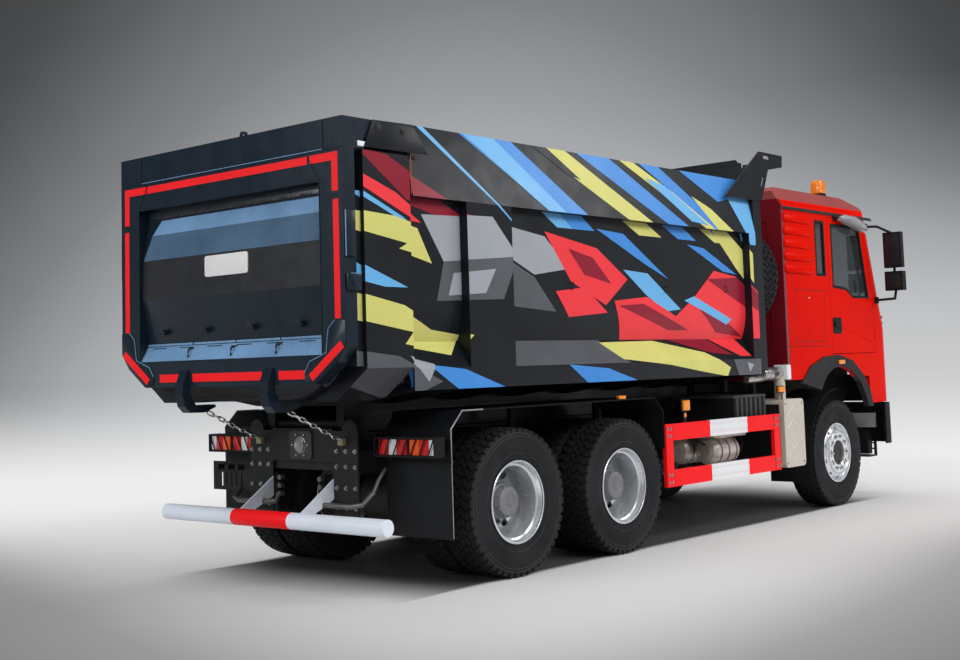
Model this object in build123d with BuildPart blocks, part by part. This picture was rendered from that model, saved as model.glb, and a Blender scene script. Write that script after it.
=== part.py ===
"""Three-axle front-hoist dump truck: cab, chassis, tipping body, tailgate and wheels.

Frame: X forward, Y left, Z up, millimetres. The ground is z = 0 and the origin is the
middle of the outline's base. Left and right copies are made by a loop over SIDES.
"""

import os
from math import cos, hypot, pi, sin

from build123d import *

# ---------------------------------------------------------------- layout
SIDES = (1, -1)
SIDE_NAMES = {1: "left", -1: "right"}
FRONT_AXLE_X = 2750.0
MIDDLE_AXLE_X = -1150.0
REAR_AXLE_X = -2500.0
OVERALL_FRONT_X = 4250.0
RUNNING_GAP = 0.3
MOVING_GAP = 6.0
SEAT_GAP = 0.3

# ---------------------------------------------------------------- tyres and rims
TYRE_R = 542.5
TYRE_HALF_W = 150.0
TREAD_HALF_W = 130.0
BULGE_R = 410.0
BULGE_HALF_W = TYRE_HALF_W
BEAD_HALF_W = 124.0
BEAD_R = 290.0
TYRE_SIDES = 28
RIM_SIDES = 24
RIM_FLANGE_R = 304.0
RIM_HALF_W = 140.0
FLANGE_IN_Y = 128.0
RIM_WALL = 12.0
FRONT_TYRE_Y = 1040.0
TWIN_OUTER_Y = 1090.0
TWIN_INNER_Y = 750.0
SPINDLE_R = 40.0
# hollow of the barrel from its middle: y, wall left around it
BARREL_HOLLOW = ((-140.0, 12.0), (-104.0, 12.0), (-92.0, 26.0), (92.0, 26.0), (104.0, 12.0), (140.0, 12.0))
# bulged disc from the rim's middle: y, radius
DISC_BULGE = ((52.0, 270.0), (92.0, 238.0), (112.0, 202.0), (118.0, 160.0))
DISC_T = 14.0
DISC_HOLES = 10
DISC_HOLE_R = 26.0
DISC_HOLE_PITCH_R = 228.0
HUB_SIDES = 20
HUB_R = 118.0
FRONT_HUB_IN_Y = 925.0
FRONT_HUB_OUT_Y = 1176.0
FRONT_SPINDLE_END_Y = 1110.0
REAR_HUB_IN_Y = 640.0
REAR_HUB_OUT_Y = 1180.0
REAR_SPINDLE_END_Y = 1120.0

# ---------------------------------------------------------------- chassis
RAIL_OUTER_Y = 425.0
RAIL_H = 300.0
RAIL_TOP_Z = 1080.0
RAIL_FLANGE = 80.0
RAIL_WALL = 10.0
RAIL_REAR_X = -3480.0
RAIL_FRONT_X = 3940.0
AXLE_Z = TYRE_R
KINGPIN_Y = 850.0
KINGPIN_R = 25.0
BEAM_DROP = 90.0
BEAM_H = 110.0
BEAM_W = 100.0
BEAM_EYE_R = 42.0
TUBE_AXLE_R = 75.0
YOKE_HALF_H = 105.0
YOKE_WALL = 18.0
HOUSING_R = 225.0
HOUSING_HALF_W = 190.0
HOUSING_NOSE_R = 95.0
PROPSHAFT_R = 45.0
GEARBOX_REAR_X = 1780.0
GEARBOX_SHAFT_Z = 760.0
SPRING_Y = 425.0
SPRING_W = 90.0
FRONT_SPRING_HALF = 760.0
FRONT_SPRING_EYE_Z = 640.0
REAR_PLATE_T = 14.0
REAR_PLATE_IN_Y = 330.0
REAR_PLATE_OUT_Y = 590.0
REAR_PLATE_LOW_Z = 480.0
REAR_PLATE_TOP_Z = 1105.0
REAR_EAR_Y = 511.0
REAR_EAR_R = 78.0
HINGE_EAR_T = 20.0
COUPLING_Z = 1000.0
COUPLING_PITCH_Y = 160.0
COUPLING_PITCH_Z = 100.0
COUPLING_HOLE_R = 10.5
# cross members: x from, x to, z from, z to
CROSS_MEMBERS = (
    (-3470, -3340, 820, 1060),
    (-1890, -1760, 840, 1040),
    (-200, -80, 840, 1040),
    (1320, 1480, 800, 880),
    (3820, 3930, 800, 880),
)
BRACKET_T = 6.0
BRACKET_OUT_Y = 1048.0
BRACKET_LOW_Z = 640.0
BRACKET_TOP_Z = 860.0
BRACKET_SLOT_YS = (700.0, 760.0, 820.0, 880.0, 940.0)
BRACKET_SLOT_W = 20.0
BRACKET_SLOT_H = 110.0
AIR_COUPLING_YS = (690.0, 810.0, 930.0)
AIR_COUPLING_R = 20.0
AIR_COUPLING_LENGTH = 60.0
ENGINE_X = (2450.0, 3640.0)
ENGINE_Z = (700.0, 1270.0)
ENGINE_HALF_W = 320.0
GEARBOX_Z = (685.0, 1130.0)
GEARBOX_HALF_W = 210.0
GEARBOX_BOSS_LENGTH = 40.0
GEARBOX_BOSS_R = 60.0
RADIATOR_X = (3700.0, 3815.0)
RADIATOR_Z = (720.0, 1280.0)
RADIATOR_HALF_W = 335.0
FUEL_TANK_X = (150.0, 1350.0)
FUEL_TANK_Y = (640.0, 1190.0)
FUEL_TANK_Z = (470.0, 1010.0)
FUEL_TANK_CORNER_R = 60.0
FUEL_STRAP_XS = (400.0, 1100.0)
FUEL_STRAP_W = 60.0
FUEL_STRAP_T = 4.0
FUEL_ARM_Z = (780.0, 860.0)
FUEL_CAP_R = 50.0
FUEL_CAP_H = 35.0
AIR_TANK_YS = (-1000.0, -700.0)
AIR_TANK_X = (460.0, 920.0)
AIR_TANK_Z = 700.0
AIR_TANK_R = 125.0
# domed end of an air tank: distance from the end, radius
AIR_TANK_DOME = ((0.0, 0.0), (0.0, 52.0), (14.0, 92.0), (40.0, 118.0), (72.0, AIR_TANK_R))
AIR_SHELF_X = (440.0, 1000.0)
AIR_SHELF_Z = (824.0, 866.0)
AIR_SHELF_OUT_Y = 1120.0
BATTERY_X = (760.0, 1340.0)
BATTERY_Y = (-1150.0, -560.0)
BATTERY_Z = (950.0, 1190.0)
BATTERY_FOOT_X = (900.0, 960.0)
GUARD_IN_Y = 1210.0
GUARD_OUT_Y = 1245.0
GUARD_REAR_X = -543.0
GUARD_FRONT_X = 1430.0
GUARD_LOW_Z = 473.0
GUARD_HIGH_Z = 1000.0
GUARD_RAIL_H = 140.0
GUARD_POST_W = 110.0
GUARD_BEAD_H = 12.0
GUARD_BEAD_DEPTH = 3.0
GUARD_ARM_W = 40.0
GUARD_ARM_Z = (870.0, 930.0)
EXHAUST_X = 1530.0
EXHAUST_LENGTH = 400.0
EXHAUST_Y = (-1245.0, -700.0)
EXHAUST_Z = (478.0, 1130.0)
EXHAUST_CORNER_R = 45.0
# pressed chevrons in the exhaust box: z of the point, z of the ends
EXHAUST_CHEVRONS = ((1076.0, 974.0), (950.0, 861.0), (669.0, 771.0), (538.0, 645.0))
CHEVRON_HALF_W = 140.0
CHEVRON_LINE = 14.0
CHEVRON_DEPTH = 6.0
PIPE_Y = -1140.0
PIPE_Z = 1380.0
PIPE_R = 60.0
PIPE_REAR_X = 1300.0
MUDGUARD_T = 6.0
FLAP_LOW_Z = 290.0
FRONT_MUDGUARD_Y = (760.0, 1215.0)
FRONT_MUDGUARD_ARM_X = (2192.0, 2232.0)
FRONT_MUDGUARD_ARM_Z = (900.0, 940.0)
REAR_MUDGUARD_Y = (600.0, 1240.0)
REAR_MUDGUARD_TOP_Z = 1230.0
REAR_MUDGUARD_SHOULDER_Z = 1110.0
REAR_MUDGUARD_X = (-3220.0, -560.0)
REAR_FLAP_LOW_Z = 350.0
REAR_MUDGUARD_FRONT_LOW_Z = 800.0
REAR_MUDGUARD_ARM_XS = (-3150.0, -1850.0, -700.0)
REAR_MUDGUARD_ARM_W = 50.0
REAR_MUDGUARD_ARM_Z = (1000.0, 1060.0)
LAMP_X = -3360.0
LAMP_DEPTH = 70.0
LAMP_Y = (650.0, 1240.0)
LAMP_Z = (920.0, 1060.0)
LAMP_ARM_Z = (960.0, 1020.0)
LAMP_GUARD_X = -3392.0
LAMP_GUARD_BAR = 12.0
LAMP_GUARD_WIRE_R = 5.0
LAMP_GUARD_WIRES = 7
LAMP_GUARD_LEAN = 62.0
UNDERRIDE_X = -3818.0
UNDERRIDE_Z = 494.0
UNDERRIDE_R = 59.0
UNDERRIDE_HALF_W = 1198.0
UNDERRIDE_BRACKET_Y = (326.0, 338.0)
SPARE_X = 1425.0
SPARE_Y = -700.0
SPARE_Z = 2330.0
SPARE_BOSS_R = 60.0
SPARE_POST_W = 60.0
SPARE_POST_SPREAD = 160.0
SPARE_FOOT_Z = RAIL_TOP_Z + 80.0
HEAD_LAMP_Y = (620.0, 940.0)
HEAD_LAMP_Z = (720.0, 880.0)
HEAD_LAMP_DEPTH = 60.0
STEP_X = (4040.0, 4240.0)
STEP_Y = (700.0, 930.0)
STEP_Z = 400.0
STEP_T = 12.0
STEP_HANGER_W = 25.0
BUMPER_ARM_Y = (345.0, 425.0)
BUMPER_ARM_Z = (790.0, 890.0)
BUMPER_BACK_X = 3960.0
BUMPER_LOW_Z = 560.0
BUMPER_TOP_Z = 1005.0
BUMPER_WALL = 20.0
BUMPER_HALF_W = 1180.0
BUMPER_CORNER_R = 220.0
GUARD_R = 650.0

# ---------------------------------------------------------------- tipping hinge and hoist
TIP_X = -3400.0
TIP_Z = 1150.0
TIP_PIN_R = 35.0
TIP_BOSS_R = 58.0
TIP_MAX_DEG = 48.0
HOIST_X = 1400.0
HOIST_FOOT_Z = 960.0
HOIST_TRUNNION_Z = 1700.0
HOIST_COVER_LOW_Z = 1075.0
HOIST_COVER_TOP_Z = 2740.0
HOIST_COVER_R = 105.0
HOIST_WALL = 12.0
HOIST_SLIDE_GAP = 0.5
HOIST_STAGES = 3
HOIST_PIN_R = 30.0
HOIST_EYE_R = 60.0
HOIST_EYE_HALF_W = 35.0
HOIST_CHEEK_Y = 76.0
HOIST_CHEEK_T = 20.0

# ---------------------------------------------------------------- dump body
BODY_HALF_W = 1250.0
TUB_HALF_W = 1175.0
TUB_WALL = 10.0
TUB_CORNER_R = 640.0
TUB_BOTTOM_Z = 1340.0
TUB_TOP_Z = 3180.0
TUB_REAR_X = -4080.0
TUB_FRONT_X = 1120.0
LIP_Z = 2710.0
TOP_RAIL_Z = 3225.0
TOP_RAIL_Y = 1150.0
LEDGE_TOP_Z = 1720.0
LEDGE_BOTTOM_Z = 1530.0
SKIRT_BOTTOM_Z = 1385.0
FRAME_WALL = 12.0
HEADBOARD_TOP_Z = 3440.0
HEADBOARD_POST_X = 1265.0
HEADBOARD_RIB_X = TUB_FRONT_X + 70.0
HEADBOARD_RIB_ZS = (1700.0, 2150.0, 2560.0, 3330.0)
HEADBOARD_RIB_H = 80.0
HEADBOARD_RIB_HALF_W = 1100.0
WING_T = 14.0
RUNNER_Y = 380.0
RUNNER_W = 80.0
CORNER_REAR_X = -4020.0
CORNER_FRONT_X = -3580.0
CORNER_TOP_Z = 2980.0
TOP_RAIL_REAR_X = -3550.0
BODY_POSTS = ((-3000.0, -2500.0), (1000.0, TUB_FRONT_X))
BODY_BEARERS = (-3470.0, -2990.0, -2300.0, -1600.0, -900.0, -200.0, 500.0, 1000.0)
HINGE_PLATE_Y = 1160.0
HINGE_PLATE_T = 30.0
# wing plate at the body's front top corner, as (x, z)
WING_OUTLINE = (
    (600, 3030), (1273, 3516), (1729, 3517), (1718, 3402), (1436, 3352), (1323, 3111), (1285, 3034),
)
# slots in the wing plate: x, z, length, width, turn in degrees
WING_SLOTS = ((1415.0, 3470.0, 130.0, 34.0, 0.0), (1318.0, 3228.0, 126.0, 30.0, 65.0))
CHAIN_YS = (-450.0, 450.0)
CHAIN_END_X = -3500.0
CHAIN_LOW_Z = 1030.0
CHAIN_TOP_X = -3900.0
CHAIN_TOP_Z = 1215.0
CHAIN_LINKS = 8
CHAIN_WIRE = 9.0
CHAIN_W = 36.0

# ---------------------------------------------------------------- tailgate
GATE_REAR_X = -4190.0
GATE_FRONT_X = TUB_REAR_X - MOVING_GAP
GATE_TOP_Z = 3190.0
GATE_BOTTOM_Z = 1450.0
GATE_HALF_W = 1240.0
GATE_HINGE_X = -3874.0
GATE_HINGE_Z = 3134.0
GATE_PIN_R = 22.0
GATE_MAX_DEG = 70.0
GATE_BEAM_LOW_Z = 2986.0
RECESS_HALF_W = 1010.0
RECESS_LOW_Z = 1640.0
RECESS_TOP_Z = 2780.0
EYE_OUTLINE = ((-4140, 3188), (-4122, 3243), (-4078, 3243), (-4060, 3188))
EYE_Y = (-145.0, -125.0)
EYE_HOLE_R = 14.0
EYE_HOLE_Z = 3216.0
LATCH_X = (-4185.0, -4100.0)
LATCH_Z = (2270.0, 2570.0)
LATCH_LIP = 10.0
LUG_YS = (-760.0, -260.0, 260.0, 760.0)
LUG_W = 46.0
LUG_Z = (1838.0, 1872.0)
LUG_X = (-4168.0, -4115.0)
CLAW_YS = (-480.0, 460.0)
CLAW_HALF_W = 45.0
CLAW_OUTLINE = (
    (-4190, 1570), (-4200, 1570), (-4240, 1480), (-4250, 1400), (-4225, 1310), (-4180, 1265),
    (-4050, 1262), (-3950, 1300), (-3960, 1318), (-4130, 1318), (-4180, 1400), (-4186, 1460),
)

# ---------------------------------------------------------------- cab
CAB_HALF_W = 1200.0
CAB_REAR_X = 1740.0
CAB_FACE_X = 4150.0
CAB_FLOOR_Z = 1310.0
CAB_WALL = 45.0
CAB_ROOF_Z = 3235.0
CAB_PIVOT_X = 4020.0
CAB_PIVOT_Z = 1080.0
CAB_PIN_R = 20.0
CAB_LUG_Y = 300.0
CAB_LUG_T = 40.0
CAB_LIP_Z = 1020.0
CAB_CORNER_R = 240.0
CAB_PROFILE = (
    (CAB_REAR_X, 900),
    (CAB_REAR_X, 3190),
    (CAB_REAR_X + 70, CAB_ROOF_Z),
    (3300, CAB_ROOF_Z),
    (3640, 3150),
    (3800, 3020),
    (4080, 2080),
    (CAB_FACE_X, 1850),
    (CAB_FACE_X, 900),
)
# the roof's sides lean in above the gutter
ROOF_SIDE_Z = 3035.0
ROOF_EDGE_Y = 1085.0
ROOF_SIDE_WALL = 20.0
ROOF_JOINT_Z = 3106.0
CAB_BASE_Z = CAB_FLOOR_Z + 200.0
CAB_FLOOR_T = 30.0
GUTTER_X = (CAB_REAR_X, 3785.0)
GUTTER_Z = (3004.0, 3022.0)
GUTTER_OUT = 12.0
CAB_RIBS = 5
CAB_RIB_X = (1772.0, 2368.0)
CAB_RIB_LOW_Z = 2364.0
CAB_RIB_PITCH = 128.0
CAB_RIB_H = 104.0
CAB_RIB_OUT = 12.0
CAB_RIB_TAPER = 35.0
REAR_PRESSING_YS = (-760.0, 0.0, 760.0)
REAR_PRESSING_W = 560.0
REAR_PRESSING_Z = (1700.0, 2880.0)
REAR_PRESSING_DEPTH = 8.0
FRONT_PANEL_TOP_Z = 1840.0
FRONT_PANEL_HALF_W = 955.0
GRILLE_ROWS = 4
GRILLE_LOW_Z = 1320.0
GRILLE_PITCH = 130.0
GRILLE_SLOT = 70.0
GRILLE_HALF_W = 760.0
SCREEN_HALF_W = 940.0
SCREEN_LOW_Z = 2120.0
SCREEN_TOP_Z = 2985.0
GLASS_INSET = 14.0
GLASS_T = 8.0
DOOR_GAP = 6.0
DOOR_OUTLINE = ((2720, 1560), (3740, 1560), (3740, 2160), (3545, 2975), (2720, 2975))
DOOR_WINDOW = ((2800, 2250), (3100, 2230), (3250, 2150), (3640, 2150), (3470, 2915), (2800, 2915))
QUARTER_WINDOW = ((2440, 2360), (2650, 2360), (2650, 2930), (2440, 2930))
DOOR_HINGE_X = 3743.0
DOOR_HINGE_Y = CAB_HALF_W
DOOR_HINGE_R = 9.0
DOOR_HINGE_H = 60.0
DOOR_HINGE_ZS = (1700.0, 2050.0)
BEACON_X = 2930.0
BEACON_Y = -1015.0
BEACON_BASE_R = 64.0
BEACON_BASE_H = 22.0
BEACON_LENS_W = 112.0
BEACON_TOP_H = 130.0
BEACON_TAPER = 8.0
MIRROR_FACE_X = 3860.0
MIRROR_IN_Y = 1300.0
MIRROR_OUT_Y = 1500.0
MIRROR_EDGE_R = 40.0
MIRROR_ARM_R = 14.0
# mirror heads: low z, high z, depth
MIRROR_HEADS = ((2480.0, 2870.0, 110.0), (2230.0, 2440.0, 130.0))
# mirror arms on the left: start, bend, end
MIRROR_ARMS = (
    ((3615, 1215, 2930), (3700, 1310, 2930), (3915, 1390, 2860)),
    ((3810, 1215, 2130), (3870, 1400, 2140), (3915, 1400, 2240)),
    ((3900, 1400, 2430), (3900, 1400, 2455), (3900, 1400, 2490)),
)
MIRROR_FEET = ((3615.0, 2930.0), (3810.0, 2130.0))
SEAT_Y = 620.0
# seat blocks: x range, half width, low z and high z above the floor
SEAT_PARTS = (
    ((2700.0, 3050.0), 180.0, 0.0, 262.0),
    ((2650.0, 3150.0), 250.0, 260.0, 380.0),
    ((2560.0, 2680.0), 250.0, 300.0, 1000.0),
)
# dashboard blocks: x range, half width, low z and high z above the floor
DASHBOARD_PARTS = (((3880.0, 4020.0), 300.0, 0.0, 182.0), ((3800.0, 4020.0), 1000.0, 180.0, 480.0))
STEERING_COLUMN_FOOT = (3850.0, 420.0)
STEERING_WHEEL_CENTRE = (3560.0, 560.0)
STEERING_WHEEL_R = 225.0
ARCH_OUTER = (
    (1990, 1275), (2200, 1440), (2500, 1530), (2830, 1545), (3150, 1480),
    (3400, 1320), (3540, 1150), (3600, 985), (3480, 985),
)
ARCH_INNER = (
    (2400, 1200), (2520, 1330), (2700, 1410), (2900, 1425), (3100, 1380),
    (3300, 1260), (3420, 1110), (3480, 984), (3400, 800), (2300, 800),
)

os.makedirs("parts", exist_ok=True)


# ---------------------------------------------------------------- shared helpers
def save(part, name):
    """Label one finished piece and write its STEP file."""
    part.label = name
    export_step(part, f"parts/{name}.step")


def block(x_range, y_range, z_range, mode=Mode.ADD):
    """Add a box between pairs of coordinates."""
    spans = (x_range, y_range, z_range)
    middle = tuple((low + high) / 2 for low, high in spans)
    size = tuple(high - low for low, high in spans)
    with Locations(middle):
        Box(*size, mode=mode)


def xz_plate(outline, y_low, y_high, mode=Mode.ADD):
    """Add a plate whose (x, z) outline is extruded between two y values."""
    with BuildSketch(Plane.XZ.offset(-y_high)) as sketch:
        with BuildLine():
            Polyline(*outline, close=True)
        make_face()
    extrude(sketch.sketch, amount=y_high - y_low, mode=mode)


def yz_plate(outline, x_low, x_high, mode=Mode.ADD):
    """Add a plate whose (y, z) outline is extruded between two x values."""
    with BuildSketch(Plane.YZ.offset(x_low)) as sketch:
        with BuildLine():
            Polyline(*outline, close=True)
        make_face()
    extrude(sketch.sketch, amount=x_high - x_low, mode=mode)


def y_rod(x, z, radius, y_low, y_high, mode=Mode.ADD):
    """Add a round bar or hole along Y."""
    with BuildSketch(Plane.XZ.offset(-y_high)) as sketch:
        with Locations((x, z)):
            Circle(radius)
    extrude(sketch.sketch, amount=y_high - y_low, mode=mode)


def x_rod(y, z, radius, x_low, x_high, mode=Mode.ADD):
    """Add a round bar or hole along X."""
    with BuildSketch(Plane.YZ.offset(x_low)) as sketch:
        with Locations((y, z)):
            Circle(radius)
    extrude(sketch.sketch, amount=x_high - x_low, mode=mode)


def z_rod(x, y, radius, z_low, z_high, mode=Mode.ADD):
    """Add a round bar or hole along Z."""
    with BuildSketch(Plane.XY.offset(z_low)) as sketch:
        with Locations((x, y)):
            Circle(radius)
    extrude(sketch.sketch, amount=z_high - z_low, mode=mode)


def rod_between(start, end, radius, mode=Mode.ADD):
    """Add a round bar between two points."""
    axis = Vector(*end) - Vector(*start)
    with BuildSketch(Plane(origin=start, z_dir=axis)) as sketch:
        Circle(radius)
    extrude(sketch.sketch, amount=axis.length, mode=mode)


def polygon_loft(stations, sides, centre, mode=Mode.ADD):
    """Flat-sided solid along Y through regular polygons: stations hold (y, radius to the flats)."""
    rings = []
    for y, radius in stations:
        corner_r = radius / cos(pi / sides)
        angles = [2 * pi * (step + 0.5) / sides for step in range(sides)]
        rings.append(
            [(centre[0] + corner_r * sin(a), y, centre[1] + corner_r * cos(a)) for a in angles]
        )
    faces = [Face(Wire.make_polygon(ring)) for ring in (rings[0], rings[-1])]
    for first, second in zip(rings, rings[1:]):
        for step in range(sides):
            after = (step + 1) % sides
            corners = (first[step], first[after], second[after], second[step])
            faces.append(Face(Wire.make_polygon(corners)))
    add(Solid(Shell(faces)), mode=mode)


def mirrored_range(side, near, far):
    """Return the (low, high) y pair for a span given from the centre plane outwards."""
    return (near, far) if side > 0 else (-far, -near)


# ---------------------------------------------------------------- wheels
def add_tyre(x, y):
    """Add one tyre, its axis along Y: bulged sidewalls, flat tread and an open bore."""
    half_section = (
        (BEAD_HALF_W, BEAD_R + 2),
        (BULGE_HALF_W, BULGE_R),
        (TREAD_HALF_W, TYRE_R),
    )
    stations = [(y - offset_y, radius) for offset_y, radius in half_section]
    stations += [(y + offset_y, radius) for offset_y, radius in reversed(half_section)]
    with BuildPart(mode=Mode.PRIVATE) as ring:
        polygon_loft(stations, TYRE_SIDES, (x, AXLE_Z))
        bore = ((y - TYRE_HALF_W, BEAD_R), (y + TYRE_HALF_W, BEAD_R))
        polygon_loft(bore, TYRE_SIDES, (x, AXLE_Z), mode=Mode.SUBTRACT)
    add(ring.part)


def add_rim(x, y, outward):
    """Add one rim: stepped barrel with two flanges, and a bulged disc with hand holes."""
    barrel_r = BEAD_R * cos(pi / RIM_SIDES) - SEAT_GAP
    centre = (x, AXLE_Z)
    # bands of the barrel: from y, to y, radius
    bands = (
        (-RIM_HALF_W, -FLANGE_IN_Y, RIM_FLANGE_R),
        (-FLANGE_IN_Y, FLANGE_IN_Y, barrel_r),
        (FLANGE_IN_Y, RIM_HALF_W, RIM_FLANGE_R),
    )
    with BuildPart(mode=Mode.PRIVATE) as disc:
        for shift, mode in ((0, Mode.ADD), (-DISC_T, Mode.SUBTRACT)):
            bulge = [(y + outward * (offset_y + shift), radius) for offset_y, radius in DISC_BULGE]
            polygon_loft(bulge, RIM_SIDES, centre, mode=mode)
    with BuildPart(mode=Mode.PRIVATE) as rim:
        for low, high, radius in bands:
            polygon_loft(((y + low, radius), (y + high, radius)), RIM_SIDES, centre)
        hollow = [(y + offset_y, barrel_r - wall) for offset_y, wall in BARREL_HOLLOW]
        polygon_loft(hollow, RIM_SIDES, centre, mode=Mode.SUBTRACT)
        add(disc.part)
        low, high = sorted((y + outward * (DISC_BULGE[0][0] - DISC_T), y + outward * RIM_HALF_W))
        for step in range(DISC_HOLES):
            angle = 2 * pi * step / DISC_HOLES
            hole_x = x + DISC_HOLE_PITCH_R * cos(angle)
            hole_z = AXLE_Z + DISC_HOLE_PITCH_R * sin(angle)
            with BuildSketch(Plane.XZ.offset(-high)) as sketch:
                with Locations((hole_x, hole_z)):
                    RegularPolygon(DISC_HOLE_R, 6)
            extrude(sketch.sketch, amount=high - low, mode=Mode.SUBTRACT)
    add(rim.part)


def add_hub(x, side, near_y, far_y, radius):
    """Add a hub drum along Y with a bore for the spindle."""
    low, high = mirrored_range(side, near_y, far_y)
    polygon_loft(((low, radius), (high, radius)), HUB_SIDES, (x, AXLE_Z))


def cut_spindle_bore(x, side, far_y):
    """Open the hub for its spindle."""
    low, high = mirrored_range(side, 0, far_y)
    y_rod(x, AXLE_Z, SPINDLE_R + RUNNING_GAP, low, high, mode=Mode.SUBTRACT)


for side in SIDES:
    name = SIDE_NAMES[side]
    with BuildPart() as tyre_front:
        add_tyre(FRONT_AXLE_X, side * FRONT_TYRE_Y)
    save(tyre_front.part, f"tyre_front_{name}")
    with BuildPart() as rim_front:
        add_rim(FRONT_AXLE_X, side * FRONT_TYRE_Y, side)
        add_hub(FRONT_AXLE_X, side, FRONT_HUB_IN_Y, FRONT_HUB_OUT_Y, HUB_R)
        cut_spindle_bore(FRONT_AXLE_X, side, FRONT_SPINDLE_END_Y + RUNNING_GAP)
    save(rim_front.part, f"rim_front_{name}")
    for row, axle_x in (("middle", MIDDLE_AXLE_X), ("rear", REAR_AXLE_X)):
        with BuildPart() as tyres:
            add_tyre(axle_x, side * TWIN_OUTER_Y)
            add_tyre(axle_x, side * TWIN_INNER_Y)
        save(tyres.part, f"tyres_{row}_{name}")
        with BuildPart() as rims:
            add_rim(axle_x, side * TWIN_OUTER_Y, -side)
            add_rim(axle_x, side * TWIN_INNER_Y, side)
            add_hub(axle_x, side, REAR_HUB_IN_Y, REAR_HUB_OUT_Y, HUB_R)
            cut_spindle_bore(axle_x, side, REAR_SPINDLE_END_Y + RUNNING_GAP)
        save(rims.part, f"rims_{row}_{name}")


# ---------------------------------------------------------------- axles and knuckles
BEAM_END_Y = KINGPIN_Y + BEAM_EYE_R
with BuildPart() as front_axle:
    half = [
        (0, AXLE_Z - BEAM_DROP - BEAM_H),
        (SPRING_Y + 120, AXLE_Z - BEAM_DROP - BEAM_H),
        (KINGPIN_Y - 60, AXLE_Z - BEAM_H / 2),
        (KINGPIN_Y, AXLE_Z - BEAM_H / 2),
        (KINGPIN_Y, AXLE_Z + BEAM_H / 2),
        (KINGPIN_Y - 100, AXLE_Z + BEAM_H / 2),
        (SPRING_Y + 90, AXLE_Z - BEAM_DROP),
        (0, AXLE_Z - BEAM_DROP),
    ]
    outline = half + [(-y, z) for y, z in reversed(half[1:-1])]
    yz_plate(outline, FRONT_AXLE_X - BEAM_W / 2, FRONT_AXLE_X + BEAM_W / 2)
    for side in SIDES:
        for radius, half_h in ((BEAM_EYE_R, BEAM_H / 2), (KINGPIN_R, YOKE_HALF_H)):
            z_rod(FRONT_AXLE_X, side * KINGPIN_Y, radius, AXLE_Z - half_h, AXLE_Z + half_h)
save(front_axle.part, "front_axle")

for side in SIDES:
    with BuildPart() as knuckle:
        yoke_in, yoke_out = mirrored_range(side, KINGPIN_Y - 45, BEAM_END_Y + MOVING_GAP + YOKE_WALL)
        block(
            (FRONT_AXLE_X - 48, FRONT_AXLE_X + 48),
            (yoke_in, yoke_out),
            (AXLE_Z - YOKE_HALF_H, AXLE_Z + YOKE_HALF_H),
        )
        gap_in, gap_out = mirrored_range(side, KINGPIN_Y - 50, BEAM_END_Y + MOVING_GAP)
        block(
            (FRONT_AXLE_X - 60, FRONT_AXLE_X + 60),
            (gap_in, gap_out),
            (AXLE_Z - BEAM_H / 2 - MOVING_GAP, AXLE_Z + BEAM_H / 2 + MOVING_GAP),
            mode=Mode.SUBTRACT,
        )
        spindle_in, spindle_out = mirrored_range(side, BEAM_END_Y + MOVING_GAP, FRONT_SPINDLE_END_Y)
        y_rod(FRONT_AXLE_X, AXLE_Z, SPINDLE_R, spindle_in, spindle_out)
        z_rod(
            FRONT_AXLE_X,
            side * KINGPIN_Y,
            KINGPIN_R + RUNNING_GAP,
            AXLE_Z - YOKE_HALF_H - 1,
            AXLE_Z + YOKE_HALF_H + 1,
            mode=Mode.SUBTRACT,
        )
    save(knuckle.part, f"knuckle_{SIDE_NAMES[side]}")

with BuildPart() as drive_axles:
    for axle_x in (MIDDLE_AXLE_X, REAR_AXLE_X):
        y_rod(axle_x, AXLE_Z, TUBE_AXLE_R, -REAR_HUB_IN_Y + MOVING_GAP, REAR_HUB_IN_Y - MOVING_GAP)
        y_rod(axle_x, AXLE_Z, SPINDLE_R, -REAR_SPINDLE_END_Y, REAR_SPINDLE_END_Y)
        y_rod(axle_x, AXLE_Z, HOUSING_R, -HOUSING_HALF_W, HOUSING_HALF_W)
        x_rod(0, AXLE_Z + 30, HOUSING_NOSE_R, axle_x, axle_x + HOUSING_R + 90)
save(drive_axles.part, "drive_axles")

with BuildPart() as propshafts:
    nose_x = HOUSING_R + 90
    x_rod(0, AXLE_Z + 30, PROPSHAFT_R, REAR_AXLE_X + nose_x, MIDDLE_AXLE_X - HOUSING_R)
    rod_between(
        (MIDDLE_AXLE_X + nose_x + 4, 0, AXLE_Z + 30),
        (GEARBOX_REAR_X - 4, 0, GEARBOX_SHAFT_Z),
        PROPSHAFT_R,
    )
save(propshafts.part, "propshafts")


def add_spring(x_middle, half_span, side, eye_z, seat_z, thickness):
    """Add one leaf pack as an arched bar from eye to seat to eye."""
    low, high = mirrored_range(side, SPRING_Y - SPRING_W / 2, SPRING_Y + SPRING_W / 2)
    tip_t = thickness / 3
    with BuildSketch(Plane.XZ.offset(-high)) as sketch:
        with BuildLine():
            Polyline(
                (x_middle - half_span, eye_z - tip_t),
                (x_middle - half_span, eye_z),
            )
            ThreePointArc(
                (x_middle - half_span, eye_z),
                (x_middle, seat_z + thickness),
                (x_middle + half_span, eye_z),
            )
            Line((x_middle + half_span, eye_z), (x_middle + half_span, eye_z - tip_t))
            ThreePointArc(
                (x_middle + half_span, eye_z - tip_t),
                (x_middle, seat_z),
                (x_middle - half_span, eye_z - tip_t),
            )
        make_face()
    extrude(sketch.sketch, amount=high - low)


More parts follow.
